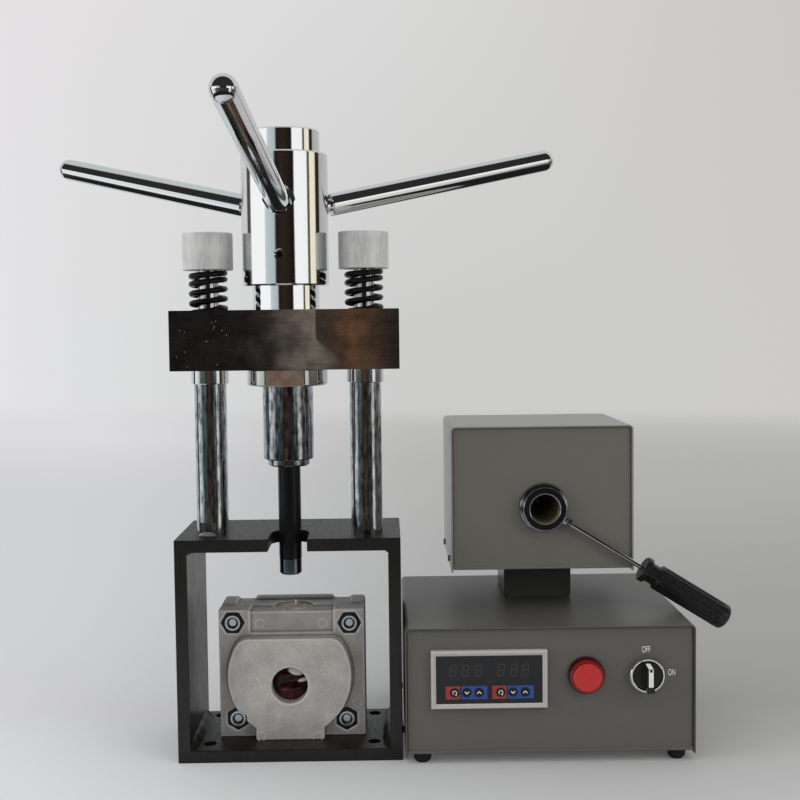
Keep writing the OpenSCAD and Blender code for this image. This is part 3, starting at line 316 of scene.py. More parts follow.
def bluedSteel():
    material, tree, shader, place = startMaterial("bluedSteel", 0.35, 0.42)
    split = addNode(tree, "SeparateXYZ", place).outputs
    wander = addNode(tree, "TexNoise", place, grain(26), 5)
    # The zones wander, but the grey patch of painted reflection ends on a straight line that blurs lower down
    blurred = addNode(tree, "MapRange", split["Z"], *blueing["blurZ"], *blueing["blurX"])
    paintedReflectionEdge = addNode(tree, "MapRange", split["X"], blueing["reflectionEdgeX"], blurred, **soft)
    bent = addNode(tree, "Math", wander, blueing["wander"], split["X"], operation="MULTIPLY_ADD")
    along = addNode(tree, "MapRange", bent, *blueing["zones"])
    tints = [addNode(tree, "ValToRGB", along, stops=blueing[side]) for side in ("left", "right")]
    zones = addNode(tree, "Mix", paintedReflectionEdge, *tints, data_type="RGBA")
    blots = addNode(tree, "TexNoise", place, grain(13), 6)
    drawn = addNode(tree, "VectorMath", place, (1/26, 1, 1), operation="MULTIPLY")
    lines = addNode(tree, "TexNoise", drawn, grain(0.9), 4)
    blotched = addNode(tree, "MapRange", blots, *usual, 0.62, 1.3)
    toned = addNode(tree, "VectorMath", zones, blotched, operation="SCALE")
    lined = addNode(tree, "MapRange", lines, *usual, 0.84, 1.18)
    brushed = addNode(tree, "VectorMath", toned, lined, operation="SCALE")
    # Bright specks where the blueing has flaked on the left end
    flakes = addNode(tree, "TexVoronoi", place, grain(4.9))
    speck = addNode(tree, "Math", flakes.outputs["Distance"], 0.08, operation="LESS_THAN")
    leftEnd = addNode(tree, "Math", split["X"], blueing["flakesEnd"], operation="LESS_THAN")
    speck = addNode(tree, "Math", speck, leftEnd, operation="MULTIPLY")
    link(tree, addNode(tree, "Mix", speck, brushed, "#b9b3a8", data_type="RGBA"), shader, "Base Color")
    weather(tree, shader, lines, 0.05, 0.4, lines, 0.3, 0.52)
    return material


# Paint, plastic, turned metal, plaster or ink, mottled and grained at a size in millimetres
def plain(name, tint, metallic, roughness, size=3.0, depth=0.05, mottle=0.14, strength=0.3, stretch=(1, 1, 1),
          gloss=0.5):
    material, tree, shader, place = startMaterial(name, metallic, roughness, {"Specular IOR Level": gloss})
    drawn = addNode(tree, "VectorMath", place, [1/s for s in stretch], operation="MULTIPLY")
    fine = addNode(tree, "TexNoise", drawn, grain(size), 5)
    broad = addNode(tree, "TexNoise", place, grain(size*9), 3)
    both = addNode(tree, "Math", fine, broad, operation="ADD")
    shade = addNode(tree, "MapRange", both, 0.7, 1.3, 1 - mottle, 1 + mottle)
    link(tree, addNode(tree, "VectorMath", colour(tint)[:3], shade, operation="SCALE"), shader, "Base Color")
    weather(tree, shader, fine, depth, strength, fine, roughness*0.85, roughness*1.15)
    return material


# Polished turned steel whose flat faces that face the front are painted a dull brown like the crosshead above it: a
# painted reflection
def flangeSteel():
    material, tree, shader, place = startMaterial("flangeSteel", 1, 0.09)
    facing = addNode(tree, "SeparateXYZ", addNode(tree, "TexCoord").outputs["Normal"]).outputs
    # Painted reflection: flat faces towards the front get a brown colour, more roughness and less metal
    flat = addNode(tree, "Math", facing["Y"], -0.99, operation="LESS_THAN")
    blots = addNode(tree, "TexNoise", place, grain(9), 5)
    brown = addNode(tree, "ValToRGB", blots, stops=[(0.3, "#8f8478"), (0.6, "#7d6250"), (0.8, "#9a7a5e")])
    link(tree, addNode(tree, "Mix", flat, "#d4d3d0", brown, data_type="RGBA"), shader, "Base Color")
    link(tree, addNode(tree, "Math", flat, 0.36, 0.09, operation="MULTIPLY_ADD"), shader, "Roughness")
    link(tree, addNode(tree, "Math", flat, -0.7, 1.0, operation="MULTIPLY_ADD"), shader, "Metallic")
    return material


# Sand-cast aluminium: pale and dusty with plaster, paler on the raised front than further back, with painted shade
# in its inner corners, and edges rubbed bright that also carry a painted highlight
def castMetal():
    material, tree, shader, place = startMaterial("castAluminium", 0.35, 0.58)
    depth = addNode(tree, "SeparateXYZ", place).outputs
    front = addNode(tree, "MapRange", depth["Y"], -0.010, 0.003)
    base = addNode(tree, "Mix", front, "#c0bdb7", "#aba8a3", data_type="RGBA")
    broad = addNode(tree, "TexNoise", place, grain(17), 5)
    pits = addNode(tree, "TexNoise", place, grain(1.5), 7)
    clouded = addNode(tree, "MapRange", broad, *usual, 0.84, 1.12)
    pitted = addNode(tree, "MapRange", pits, *usual, 0.86, 1.14)
    grains = addNode(tree, "Math", clouded, pitted, operation="MULTIPLY")
    toned = addNode(tree, "VectorMath", base, grains, operation="SCALE")
    # Painted shade darkens the inner corners; outer edges are lightened, part wear and part painted highlight
    bend = addNode(tree, "NewGeometry").outputs["Pointiness"]
    wornEdgeAndHighlight = addNode(tree, "MapRange", bend, 0.505, 0.53, 0, 0.75)
    corner = addNode(tree, "MapRange", bend, 0.495, 0.47, 0, 0.6)
    cornerPaintedShade = addNode(tree, "Mix", corner, toned, "#4f4a46", data_type="RGBA")
    link(tree, addNode(tree, "Mix", wornEdgeAndHighlight, cornerPaintedShade, "#dedbd6", data_type="RGBA"), shader, "Base Color")
    weather(tree, shader, pits, 0.28, 0.7, pits, 0.46, 0.7)
    return material


chrome = chromePlate("chromePlate", "#f1f2f3", 1, 0.045)
columnChrome = wornChrome("wornChrome", [(0.5, "#7c8083"), (0.64, "#b3b7b9"), (0.82, "#dcdfe1")], 0.09)
tubeChrome = wornChrome("groundChrome", [(0.5, "#5f6468"), (0.64, "#999da1"), (0.82, "#d3d6d9")], 0.10)
enamel = blackEnamel("blackEnamel", 0.6, 0.34)
wornEnamel = blackEnamel("rubbedEnamel", 0.55, 0.45)
blued = bluedSteel()
flange = flangeSteel()
castAluminium = castMetal()
# Bare metals: oiled steel is dark, turned metal has fine rings, black oxide an oily sheen, zinc is cool
springSteel = plain("oiledSpringSteel", "#2b2521", 0.7, 0.3, 2, 0.03, 0.2)
turnedAluminium = plain("turnedAluminium", "#dcdcda", 0.4, 0.48, 1.6, 0.05, 0.16, 0.3, (1, 1, 9))
turnedSteel = plain("turnedSteel", "#8d8c8a", 1, 0.22, 1.2, 0.03, 0.12, 0.3, (6, 6, 1))
bronze = plain("bronze", "#b5894a", 1, 0.3)
blackOxide = plain("blackOxideSteel", "#191a1b", 0.55, 0.3, 1.5)
nutBlack = plain("blackenedNut", "#1b1b1a", 0.3, 0.42, 1.0)
zinc = plain("zincPlate", "#c2c9ce", 1, 0.2, 1.5)
# Plaster: chalky, lumpy and dull where it was poured, smooth and pale where it set on its own
plaster = plain("castingPlaster", "#b9ada2", 0, 0.88, 1.1, 0.5, 0.28, 0.8)
spikePlaster = plain("setPlaster", "#e6e3dd", 0, 0.6, 1.1, 0.1, 0.1)
# Baked paint on sheet steel: even and satin, with a grain too fine to see one by one
panelPaint = plain("panelPaint", "#605e5a", 0, 0.40, 0.7, 0.02, 0.03)
# The control box's cover is painted darker than its panel: painted shade from the furnace head above it
coverPaintShaded = plain("coverPaintShaded", "#53524f", 0, 0.42, 0.7, 0.02, 0.03, gloss=0.35)
# The furnace cover is painted paler than its front panel, lit and shaded copies of one paint: painted light on the
# cover's top and sides
furnacePaintLit = plain("furnacePaintLit", "#89877f", 0, 0.34, 0.7, 0.02, 0.03)
furnacePanelPaint = plain("furnacePanelPaint", "#6b6962", 0, 0.38, 0.7, 0.02, 0.03)
neckPaint = plain("neckPaint", "#3f3f3c", 0, 0.36, 0.7, 0.02, 0.03)
# Dull rubber, bare fired clay, and moulded plastics from matt to smoked film that shines like glass
footRubber = plain("footRubber", "#141414", 0, 0.7, 1)
ceramic = plain("firedCeramic", "#d9d3c4", 0, 0.8)
gripPlastic = plain("gripPlastic", "#191919", 0, 0.28, 3, 0.04, 0.1)
casePlastic = plain("casePlastic", "#1c1d1e", 0, 0.5, 1)
bezelPlastic = plain("bezelPlastic", "#bbb6b0", 0, 0.45, 0.8, 0.02, 0.03)
facePlastic = plain("smokedFilm", "#15181b", 0, 0.12, 4, 0.01, 0.05)
buttonPlastic = plain("buttonPlastic", "#101112", 0, 0.3, 1, 0.01, 0.05)
knobPlastic = plain("knobPlastic", "#151515", 0, 0.27, 2, 0.02, 0.06)
lampRing = plain("lampRingPlastic", "#3a0d0e", 0, 0.2, 2, 0.01, 0.05)
# Worked metal: a rippled weld, a ground ram tip and a bright drawn rod
bareWeld = plain("bareWeld", "#b5b1aa", 0.8, 0.45, 0.8, 0.2, 0.2, 0.7)
groundSteel = plain("groundSteel", "#77838d", 1, 0.2, 1.4, 0.03, 0.2, 0.3, (6, 6, 1))
drawnRod = plain("drawnRod", "#dcdddd", 1, 0.07, 2, 0.005, 0.04, 0.1)
# Printed inks: flat and even, the unlit segments hardly paler than the film
whiteInk = plain("whiteInk", "#e9e9e6", 0, 0.5, 1, 0.005, 0.03)
redInk = plain("redInk", "#98382f", 0, 0.35, 1, 0.005, 0.04)
blueInk = plain("blueInk", "#2a4a93", 0, 0.35, 1, 0.005, 0.04)
segmentInk = plain("unlitSegment", "#39322f", 0, 0.3, 1, 0.005, 0.04)
# Enamel over a weld: black, with the ripples catching light
weldPaint = plain("paintedWeld", "#171513", 0, 0.4, 2.4, 0.2, 0.2, 0.6, gloss=0.3)


# Polished steel of the injection cylinder: its flat faces that face the front painted dark blue-grey and duller, a
# painted reflection of dark surroundings; burnt olive brown down its bore
def boredSteel(axisX, axisZ, bore):
    material, tree, shader, place = startMaterial("polishedSteel", 1, 0.13)
    centred = addNode(tree, "VectorMath", place, (axisX, 0, axisZ), operation="SUBTRACT")
    level = addNode(tree, "VectorMath", centred, (1, 0, 1), operation="MULTIPLY")
    radius = addNode(tree, "VectorMath", level, operation="LENGTH")
    inside = addNode(tree, "Math", radius, bore/2 + 0.2*mm, operation="LESS_THAN")
    facing = addNode(tree, "SeparateXYZ", addNode(tree, "TexCoord").outputs["Normal"]).outputs
    flat = addNode(tree, "Math", facing["Y"], -0.99, operation="LESS_THAN")
    stains = addNode(tree, "TexNoise", place, grain(5), 5)
    # Painted reflection: the flat front faces get a dark blue-grey colour
    steel = addNode(tree, "Mix", flat, "#dcdedf", "#69809a", data_type="RGBA")
    burnt = addNode(tree, "ValToRGB", stains, stops=[(0.35, "#85816a"), (0.7, "#b3ae98")])
    link(tree, addNode(tree, "Mix", inside, steel, burnt, data_type="RGBA"), shader, "Base Color")
    link(tree, addNode(tree, "Math", inside, 0.22, 0.13, operation="MULTIPLY_ADD"), shader, "Roughness")
    link(tree, addNode(tree, "Math", inside, -0.7, 1.0, operation="MULTIPLY_ADD"), shader, "Metallic")
    return material


tubeSteel = boredSteel(0.21985, 0.2035, 0.026)


# Red lens of the lamp: clear dyed plastic, a dark skirt and a lighter face of small crossed prisms
def lensPlastic(faceY, prism):
    material, tree, shader, place = startMaterial("lampLens", 0, 0.14, {
        "Emission Strength": 0.05, "Coat Weight": 0.6, "Coat Roughness": 0.06})
    turned = addNode(tree, "VectorMath", place, (1, 1, -1), operation="MULTIPLY")
    waves = [addNode(tree, "TexWave", way, grain(prism), wave_type="BANDS", bands_direction="DIAGONAL")
             for way in (place, turned)]
    grid = addNode(tree, "Math", *[wave.outputs["Fac"] for wave in waves], operation="MAXIMUM")
    glow = addNode(tree, "ValToRGB", grid, stops=[(0.25, "#7d0a0b"), (0.8, "#b81511"), (1, "#d6342b")])
    depth = addNode(tree, "SeparateXYZ", place).outputs
    face = addNode(tree, "Math", depth["Y"], faceY, operation="LESS_THAN")
    tint = addNode(tree, "Mix", face, "#6d1012", glow, data_type="RGBA")
    link(tree, tint, shader, "Base Color")
    link(tree, tint, shader, "Emission Color")
    weather(tree, shader, grid, 0.3, 0.5)
    return material


# Dark red dental wax, wet looking, with two painted highlights: centre, half width and half height in metres, and
# tilt
paintedWaxHighlights = [(0.0022, 0.0668, 0.0064, 0.0025, 0.38), (0.0088, 0.0589, 0.0046, 0.0015, -0.12)]


def darkWax():
    material, tree, shader, place = startMaterial("darkRedWax", 0, 0.14, {
        "Specular IOR Level": 0.2, "Coat Weight": 0.25, "Coat Roughness": 0.08})
    clouds = addNode(tree, "TexNoise", place, grain(7), 3)
    low = addNode(tree, "MapRange", addNode(tree, "SeparateXYZ", place).outputs["Z"], 0.055, 0.044, **soft)
    both = addNode(tree, "Math", low, 0.35, clouds, operation="MULTIPLY_ADD")
    tint = addNode(tree, "ValToRGB", both, stops=[(0.35, "#120405"), (0.6, "#2a0a0d"), (0.9, "#5e2a2b")])
    # Pale ovals painted on the wax as painted highlights
    for cx, cz, wide, high, tilt in paintedWaxHighlights:
        oval = addNode(tree, "Mapping", place, (cx, 0, cz), (0, tilt, 0), (wide, 1, high), vector_type="TEXTURE")
        reach = addNode(tree, "VectorMath", oval, operation="LENGTH")
        paintedHighlight = addNode(tree, "MapRange", reach, 1.15, 0.75, **soft)
        tint = addNode(tree, "Mix", paintedHighlight, tint, "#e9e4e0", data_type="RGBA")
    link(tree, tint, shader, "Base Color")
    weather(tree, shader, clouds, 0.5, 0.4)
    return material


redLens = lensPlastic(-0.0538, 1.7/0.628)
wax = darkWax()
keyNodes = [side + "_" + key + "_button" for side in ("temperature", "time") for key in ("set", "down", "up")]
dressing = {
    chrome: ["left_collar", "right_collar", "hub", "hub_cap", "front_handle", "left_handle", "right_handle",
             "selector_ring"], drawnRod: ["handle_rod"],
    groundSteel: ["ram_tip"], columnChrome: ["left_column", "right_column"],
    tubeChrome: ["guide_tube", "guide_end_ring"],
    tubeSteel: ["furnace_tube", "injection_cylinder"],
    enamel: ["left_side_plate", "right_side_plate"], wornEnamel: ["base_plate", "top_plate"],
    weldPaint: ["weld_beads"], blued: ["crosshead"], flange: ["flange_nut"],
    springSteel: ["left_spring", "right_spring"],
    turnedAluminium: ["left_cap_nut", "right_cap_nut"], turnedSteel: ["thrust_bearing"], bronze: ["hub_nut"],
    blackOxide: ["ram_spindle", "hub_lock_screw"], nutBlack: ["flask_nuts"],
    castAluminium: ["flask_front_half", "flask_back_half"],
    zinc: ["flask_bolts", "handle_rod_nut", "cover_screws"],
    plaster: ["flask_investment"], wax: ["flask_core_plug"],
    panelPaint: ["control_tray"], furnacePanelPaint: ["furnace_tray"],
    coverPaintShaded: ["control_cover"], furnacePaintLit: ["furnace_cover"],
    neckPaint: ["furnace_neck"], footRubber: ["rubber_feet"], ceramic: ["heating_jacket"],
    gripPlastic: ["handle_grip"], knobPlastic: ["selector_knob"], casePlastic: ["controller_case", "power_inlet"],
    bezelPlastic: ["controller_bezel"], facePlastic: ["controller_face"],
    buttonPlastic: keyNodes,
    redLens: ["pilot_lamp_lens"], lampRing: ["pilot_lamp_ring"]}
for material, names in dressing.items():
    for name in names:
        for slot in nodes[name].material_slots:
            slot.material = material
materialOf = {name: material for material, names in dressing.items() for name in names}
print("CAD nodes dressed")


def pick(obj):
    deselect()
    obj.select_set(True)
    bpy.context.view_layer.objects.active = obj


def smoothed(obj, degrees):
    pick(obj)
    bpy.ops.object.shade_smooth_by_angle(angle=math.radians(degrees))


def applyAll(obj):
    pick(obj)
    for modifier in list(obj.modifiers):
        bpy.ops.object.modifier_apply(modifier=modifier.name)


def finishPiece(obj, name, body, material, replaced=()):
    # Names a finished mesh, gives it its finish and seats it on its body
    obj.name = name
    pick(obj)
    freeze()
    obj.data.materials.clear()
    obj.data.materials.append(material)
    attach(obj, body)
    if replaced:
        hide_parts(*replaced)
    return obj


def replaceNode(obj, name, node, material=None):
    # A finished mesh in the place of a CAD node: on its body, in its slot and with its finish
    finishPiece(obj, name, nodes[node]["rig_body"], material or materialOf[node], [node])


def meshFrom(name, build):
    # A new mesh object filled by a function that works on a bmesh
    mesh = bpy.data.meshes.new(name)
    work = bmesh.new()
    build(work)
    bmesh.ops.recalc_face_normals(work, faces=work.faces)
    work.to_mesh(mesh)
    work.free()
    return newObject(name, mesh)


def bridge(work, rings):
    # Quads from each ring of points to the next
    for a, b in zip(rings, rings[1:]):
        for i in range(len(a)):
            j = (i + 1) % len(a)
            work.faces.new((a[i], a[j], b[j], b[i]))


def cutAway(obj, cutter):
    cut = obj.modifiers.new("cut", "BOOLEAN")
    cut.operation = "DIFFERENCE"
    cut.solver = "EXACT"
    cut.object = cutter
    applyAll(obj)
    bpy.data.objects.remove(cutter)


def easeEdges(obj, width):
    # Rounds every edge, by a width in millimetres
    bevel = obj.modifiers.new("bevel", "BEVEL")
    bevel.width = width*mm
    bevel.segments = 2
    applyAll(obj)


def mergedCopy(name, cuts=()):
    # A copy of a CAD node's mesh, its loose triangles joined and flat faces made whole
    copy = newObject(name + "Soft", nodes[name].data.copy())
    pick(copy)
    bpy.ops.object.mode_set(mode="EDIT")
    bpy.ops.mesh.select_all(action="SELECT")
    bpy.ops.mesh.customdata_custom_splitnormals_clear()
    bpy.ops.mesh.remove_doubles(threshold=2e-6)
    bpy.ops.mesh.mark_sharp(clear=True)
    bpy.ops.mesh.dissolve_limited(angle_limit=math.radians(0.4))
    for at, normal in cuts:
        bpy.ops.mesh.select_all(action="SELECT")
        bpy.ops.mesh.bisect(plane_co=at, plane_no=normal)
    bpy.ops.object.mode_set(mode="OBJECT")
    return copy


sharpAngle = 34


def softCopy(name, width, leave=None, cuts=()):
    # A copy of a CAD node, with its sharp edges rounded by a width in millimetres
    copy = mergedCopy(name, cuts)
    work = bmesh.new()
    work.from_mesh(copy.data)
    weights = work.edges.layers.float.new("bevel_weight_edge")
    for edge in work.edges:
        if edge.is_manifold and edge.calc_face_angle() > math.radians(sharpAngle):
            middle = (edge.verts[0].co + edge.verts[1].co)/2
            edge[weights] = 0.0 if leave and leave(middle) else 1.0
    work.to_mesh(copy.data)
    work.free()
    smoothed(copy, sharpAngle)
    bevel = copy.modifiers.new("bevel", "BEVEL")
    bevel.width = width*mm
    bevel.segments = 2
    bevel.limit_method = "WEIGHT"
    bevel.use_clamp_overlap = False
    bevel.harden_normals = True
    applyAll(copy)
    replaceNode(copy, name + "Soft", name)


def castCopy(name, cell, rounds):
    # A copy of a CAD node with the rounded edges and corners of a casting, on a grid of cells in millimetres
    copy = mergedCopy(name)
    grid = copy.modifiers.new("grid", "REMESH")
    grid.mode = "VOXEL"
    grid.voxel_size = cell*mm
    ease = copy.modifiers.new("ease", "SMOOTH")
    ease.factor = 0.5
    ease.iterations = rounds
    applyAll(copy)
    pick(copy)
    bpy.ops.object.shade_smooth()
    return copy


# Plates of the frame: outer edges eased, the welded seams between them left tight
frameEdges = {"ease": 0.7, "innerX": 0.0835, "seams": (0.0105, 0.1775)}


def onSeam(middle):
    offSeam = min(abs(middle.z - z) for z in frameEdges["seams"])
    return abs(middle.x) > frameEdges["innerX"] - 1e-4 and offSeam < 1e-4


sideCuts = [((side*frameEdges["innerX"], 0, 0), (1, 0, 0)) for side in (-1, 1)]
for name in ("base_plate", "top_plate"):
    softCopy(name, frameEdges["ease"], onSeam, sideCuts)
for name in ("left_side_plate", "right_side_plate"):
    softCopy(name, frameEdges["ease"], onSeam)
print("frame plates eased")

# Weld beads in the four corners and a short one on the left column, with the ripples of hand welding
beads = {"front": -0.034, "length": 0.106, "step": 0.0008, "across": 9, "lower": 0.0062, "upper": 0.0042,
         "ripple": 0.0034, "taper": 0.012, "tackLength": 0.0165, "tackLeg": 0.003, "tackTurn": math.radians(15),
         "flatAt": 0.01139, "columnX": -0.06575, "frameTop": 0.188, "sunk": 0.0004, "thinEnds": 0.3, "hollow": 0.15,
         "sway": 0.06, "bulge": 0.01, "scallop": 0.07}


def rippledBead(start, along, out, up, length, leg, seed):
    # A bead from a start point, between a leg along out and a leg along up
    chance = random.Random(seed)

    def build(work):
        rows, s, phase = [], 0.0, 0.0
        while s <= length + 1e-6:
            phase += beads["step"]/beads["ripple"]*chance.uniform(0.75, 1.25)
            scallop = 1 - (phase % 1)**2
            end = min(1.0, beads["thinEnds"] + 0.7*min(s, length - s)/min(beads["taper"], length/4))
            row = []
            for i in range(beads["across"]):
                t = i/(beads["across"] - 1)
                bow = math.sin(math.pi*t)
                size = leg*end*(1 + beads["sway"]*math.sin(phase*0.9))
                swell = bow*leg*end*(beads["bulge"] + beads["scallop"]*scallop)
                row.append(work.verts.new(start + along*(s - beads["hollow"]*leg*bow*end)
                                          + out*((1 - t)*size + swell) + up*(t*size + swell)))
            row.append(work.verts.new(start + along*s - (out + up)*beads["sunk"]))
            rows.append(row)
            s += beads["step"]
        bridge(work, rows)
        work.faces.new(rows[0])
        work.faces.new(list(reversed(rows[-1])))
    bead = meshFrom("bead", build)
    smoothed(bead, 50)
    return bead


seed = 3
for side, sideName in ((-1, "left"), (1, "right")):
    for z, leg, up, heightName in ((0.0105, beads["lower"], 1, "Lower"), (0.1775, beads["upper"], -1, "Upper")):
        bead = rippledBead(Vector((side*frameEdges["innerX"], beads["front"], z)), Vector((0, 1, 0)),
                           Vector((-side, 0, 0)), Vector((0, 0, up)), beads["length"], leg, seed)
        seed += 1
        replaceNode(bead, sideName + heightName + "Bead", "weld_beads")
tackOut = Vector((-math.sin(beads["tackTurn"]), -math.cos(beads["tackTurn"]), 0))
tackAlong = Vector((-tackOut.y, tackOut.x, 0))
tackStart = (Vector((beads["columnX"], 0, beads["frameTop"])) + tackOut*beads["flatAt"]
             - tackAlong*beads["tackLength"]/2)
tack = rippledBead(tackStart, tackAlong, tackOut, Vector((0, 0, 1)), beads["tackLength"], beads["tackLeg"], seed)
finishPiece(tack, "columnTack", "stand", bareWeld)
print("weld beads laid")

# Springs: the CAD coil's own path, swept round and smooth
springs = {"columnX": 0.06575, "coilRadius": 0.01415, "wire": 0.0047, "startZ": 0.36645, "endPitch": 0.0052,
           "pitch": 0.008175, "curls": 4, "blend": 0.06, "rings": 36, "sides": 14, "fixedTop": 0.412,
           "keep": 0.8333}


def springCoil(x):
    total = springs["curls"] + 2

    def rise(curls):
        return (springs["endPitch"]*min(curls, 1) + springs["pitch"]*min(max(curls - 1, 0), springs["curls"])
                + springs["endPitch"]*max(curls - 1 - springs["curls"], 0))

    def point(curls):
        angle = curls*2*math.pi
        before, after = max(curls - springs["blend"], 0), min(curls + springs["blend"], total)
        soft = (rise(before) + 2*rise(curls) + rise(after))/4
        return Vector((x + springs["coilRadius"]*math.cos(angle), springs["coilRadius"]*math.sin(angle),
                       springs["startZ"] + soft))

    def build(work):
        rows = []
        last = total*springs["rings"]
        for i in range(last + 1):
            at = point(i/springs["rings"])
            ahead = point(min(i + 1, last)/springs["rings"]) - point(max(i - 1, 0)/springs["rings"])
            out = (at - Vector((x, 0, at.z))).normalized()
            up = ahead.normalized().cross(out)
            rows.append([work.verts.new(at + springs["wire"]/2*(out*math.cos(k*2*math.pi/springs["sides"])
                                                                + up*math.sin(k*2*math.pi/springs["sides"])))
                         for k in range(springs["sides"])])
        bridge(work, rows)
        work.faces.new(rows[0])
        work.faces.new(rows[-1])
    return meshFrom("coil", build)


for side, sideName in ((-1, "left"), (1, "right")):
    coil = springCoil(side*springs["columnX"])
    smoothed(coil, 50)
    replaceNode(coil, sideName + "Coil", sideName + "_spring")
    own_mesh(coil)
print("springs wound")

# Machined, cast and folded pieces with eased edges, widths in millimetres
for name, width in (("crosshead", 0.5), ("flange_nut", 0.3), ("control_cover", 0.6), ("furnace_cover", 0.6),
                    ("control_tray", 0.9), ("furnace_tray", 0.9), ("furnace_neck", 0.4), ("selector_knob", 0.35),
                    ("power_inlet", 0.4), ("handle_grip", 0.35), ("flask_nuts", 0.35), ("handle_rod_nut", 0.35),
                    ("injection_cylinder", 0.8), ("furnace_tube", 0.8)):
    softCopy(name, width)
print("edges eased")

# Flask: sand cast halves, and the plaster that swells out of the filling hole
casting = {"cell": 0.85, "rounds": 2, "plasterCell": 0.7, "plasterRounds": 1, "plasterTop": 0.1165, "lumps": 0.0045,
           "rise": 0.0011, "fade": 0.001}
for name in ("flask_front_half", "flask_back_half"):
    half = castCopy(name, casting["cell"], casting["rounds"])
    replaceNode(half, half.name, name)
poured = castCopy("flask_investment", casting["plasterCell"], casting["plasterRounds"])
for vertex in poured.data.vertices:
    if vertex.co.z > casting["plasterTop"]:
        fade = min(1.0, (vertex.co.z - casting["plasterTop"])/casting["fade"])
        lump = mathNoise.fractal(vertex.co/casting["lumps"], 1.0, 2.0, 4)
        vertex.co.z += casting["rise"]*fade*lump
replaceNode(poured, "plasterPour", "flask_investment")

# The thin spike of plaster over it, which the casting grid swallows, set under the CAD spike's tip
spike = {"base": 1.1, "tip": 0.5, "height": 5.5}
points = [vertex.co for vertex in nodes["flask_investment"].data.vertices]
tipRim = [point for point in points if point.z > max(p.z for p in points) - 0.01*mm]
tipAt = sum(tipRim, Vector())/len(tipRim)
deselect()
bpy.ops.mesh.primitive_cone_add(vertices=24, radius1=spike["base"]*mm, radius2=spike["tip"]*mm,
                                depth=spike["height"]*mm, location=tipAt - Vector((0, 0, spike["height"]*mm/2)))
replaceNode(bpy.context.active_object, "plasterSpike", "flask_investment", spikePlaster)
print("flask cast")

# Wax core behind the window: two soft lobes that meet along a slanting crease
core = {"x": -0.002, "z": 0.0573, "y": 0.0035, "radius": 0.01535, "rings": 30, "sides": 72, "dome": 0.0055,
        "creaseZ": 0.0012, "creaseSlope": 0.14, "creaseDeep": 0.0042, "creaseWide": 0.0042, "back": 0.011}


def waxCore(work):
    rows = []
    for i in range(1, core["rings"] + 1):
        r = core["radius"]*i/core["rings"]
        row = []
        for k in range(core["sides"]):
            a = k*2*math.pi/core["sides"]
            x, z = r*math.cos(a), r*math.sin(a)
            gap = z - core["creaseZ"] - core["creaseSlope"]*x
            lobe = core["dome"]*math.sqrt(max(0.0, 1 - (r/core["radius"])**2)) * (1 - 0.25*x/core["radius"])
            crease = core["creaseDeep"]*math.exp(-(gap/core["creaseWide"])**2)*(0.55 + 0.45*x/core["radius"])
            row.append(work.verts.new((core["x"] + x, core["y"] - lobe + crease, core["z"] + z)))
        rows.append(row)
    middle = work.verts.new((core["x"], core["y"] - core["dome"] + core["creaseDeep"]*0.5, core["z"]))
    rim = [work.verts.new((v.co.x, core["back"], v.co.z)) for v in rows[-1]]
    rows.append(rim)
    bridge(work, rows)
    for i in range(core["sides"]):
        work.faces.new((middle, rows[0][(i + 1) % core["sides"]], rows[0][i]))
    work.faces.new(rim)


lobes = meshFrom("core", waxCore)
smoothed(lobes, 60)
replaceNode(lobes, "waxCore", "flask_core_plug")
print("core set")

# Bezel of the panel meter: a raised outer band, a fine groove and an inner band that slopes to the face
bezel = {"x": 0.1177, "z": 0.0475, "w": 0.096, "h": 0.048, "front": -0.050, "ease": 0.15,
         "profile": [(0, 6.0), (0, 0.6), (0.5, 0), (2.0, 0), (2.3, 0.5), (2.65, 0.5), (2.8, 0.25), (4.0, 1.0),
                     (4.05, 4.5)]}


def meterBezel(work):
    # The profile is a list of distances in from the edge and back from the front, in millimetres
    rings = []
    for inset, back in bezel["profile"]:
        d, y = inset*mm, bezel["front"] + back*mm
        x0, x1 = bezel["x"] + d, bezel["x"] + bezel["w"] - d
        z0, z1 = bezel["z"] + d, bezel["z"] + bezel["h"] - d
        rings.append([work.verts.new(p) for p in ((x0, y, z0), (x1, y, z0), (x1, y, z1), (x0, y, z1))])
    bridge(work, rings + rings[:1])


piece = meshFrom("bezel", meterBezel)
easeEdges(piece, bezel["ease"])
replaceNode(piece, "meterBezel", "controller_bezel")


def printed(name, outlines, y, thick, body, material):
    # Flat shapes, each a list of (x, z) points in millimetres, standing out of a plane that faces the front
    def build(work):
        for outline in outlines:
            face = work.faces.new([work.verts.new((x*mm, y, z*mm)) for x, z in outline])
            grown = bmesh.ops.extrude_face_region(work, geom=[face])
            moved = [v for v in grown["geom"] if isinstance(v, bmesh.types.BMVert)]
            bmesh.ops.translate(work, verts=moved, vec=(0, -thick*mm, 0))
    return finishPiece(meshFrom(name, build), name, body, material)


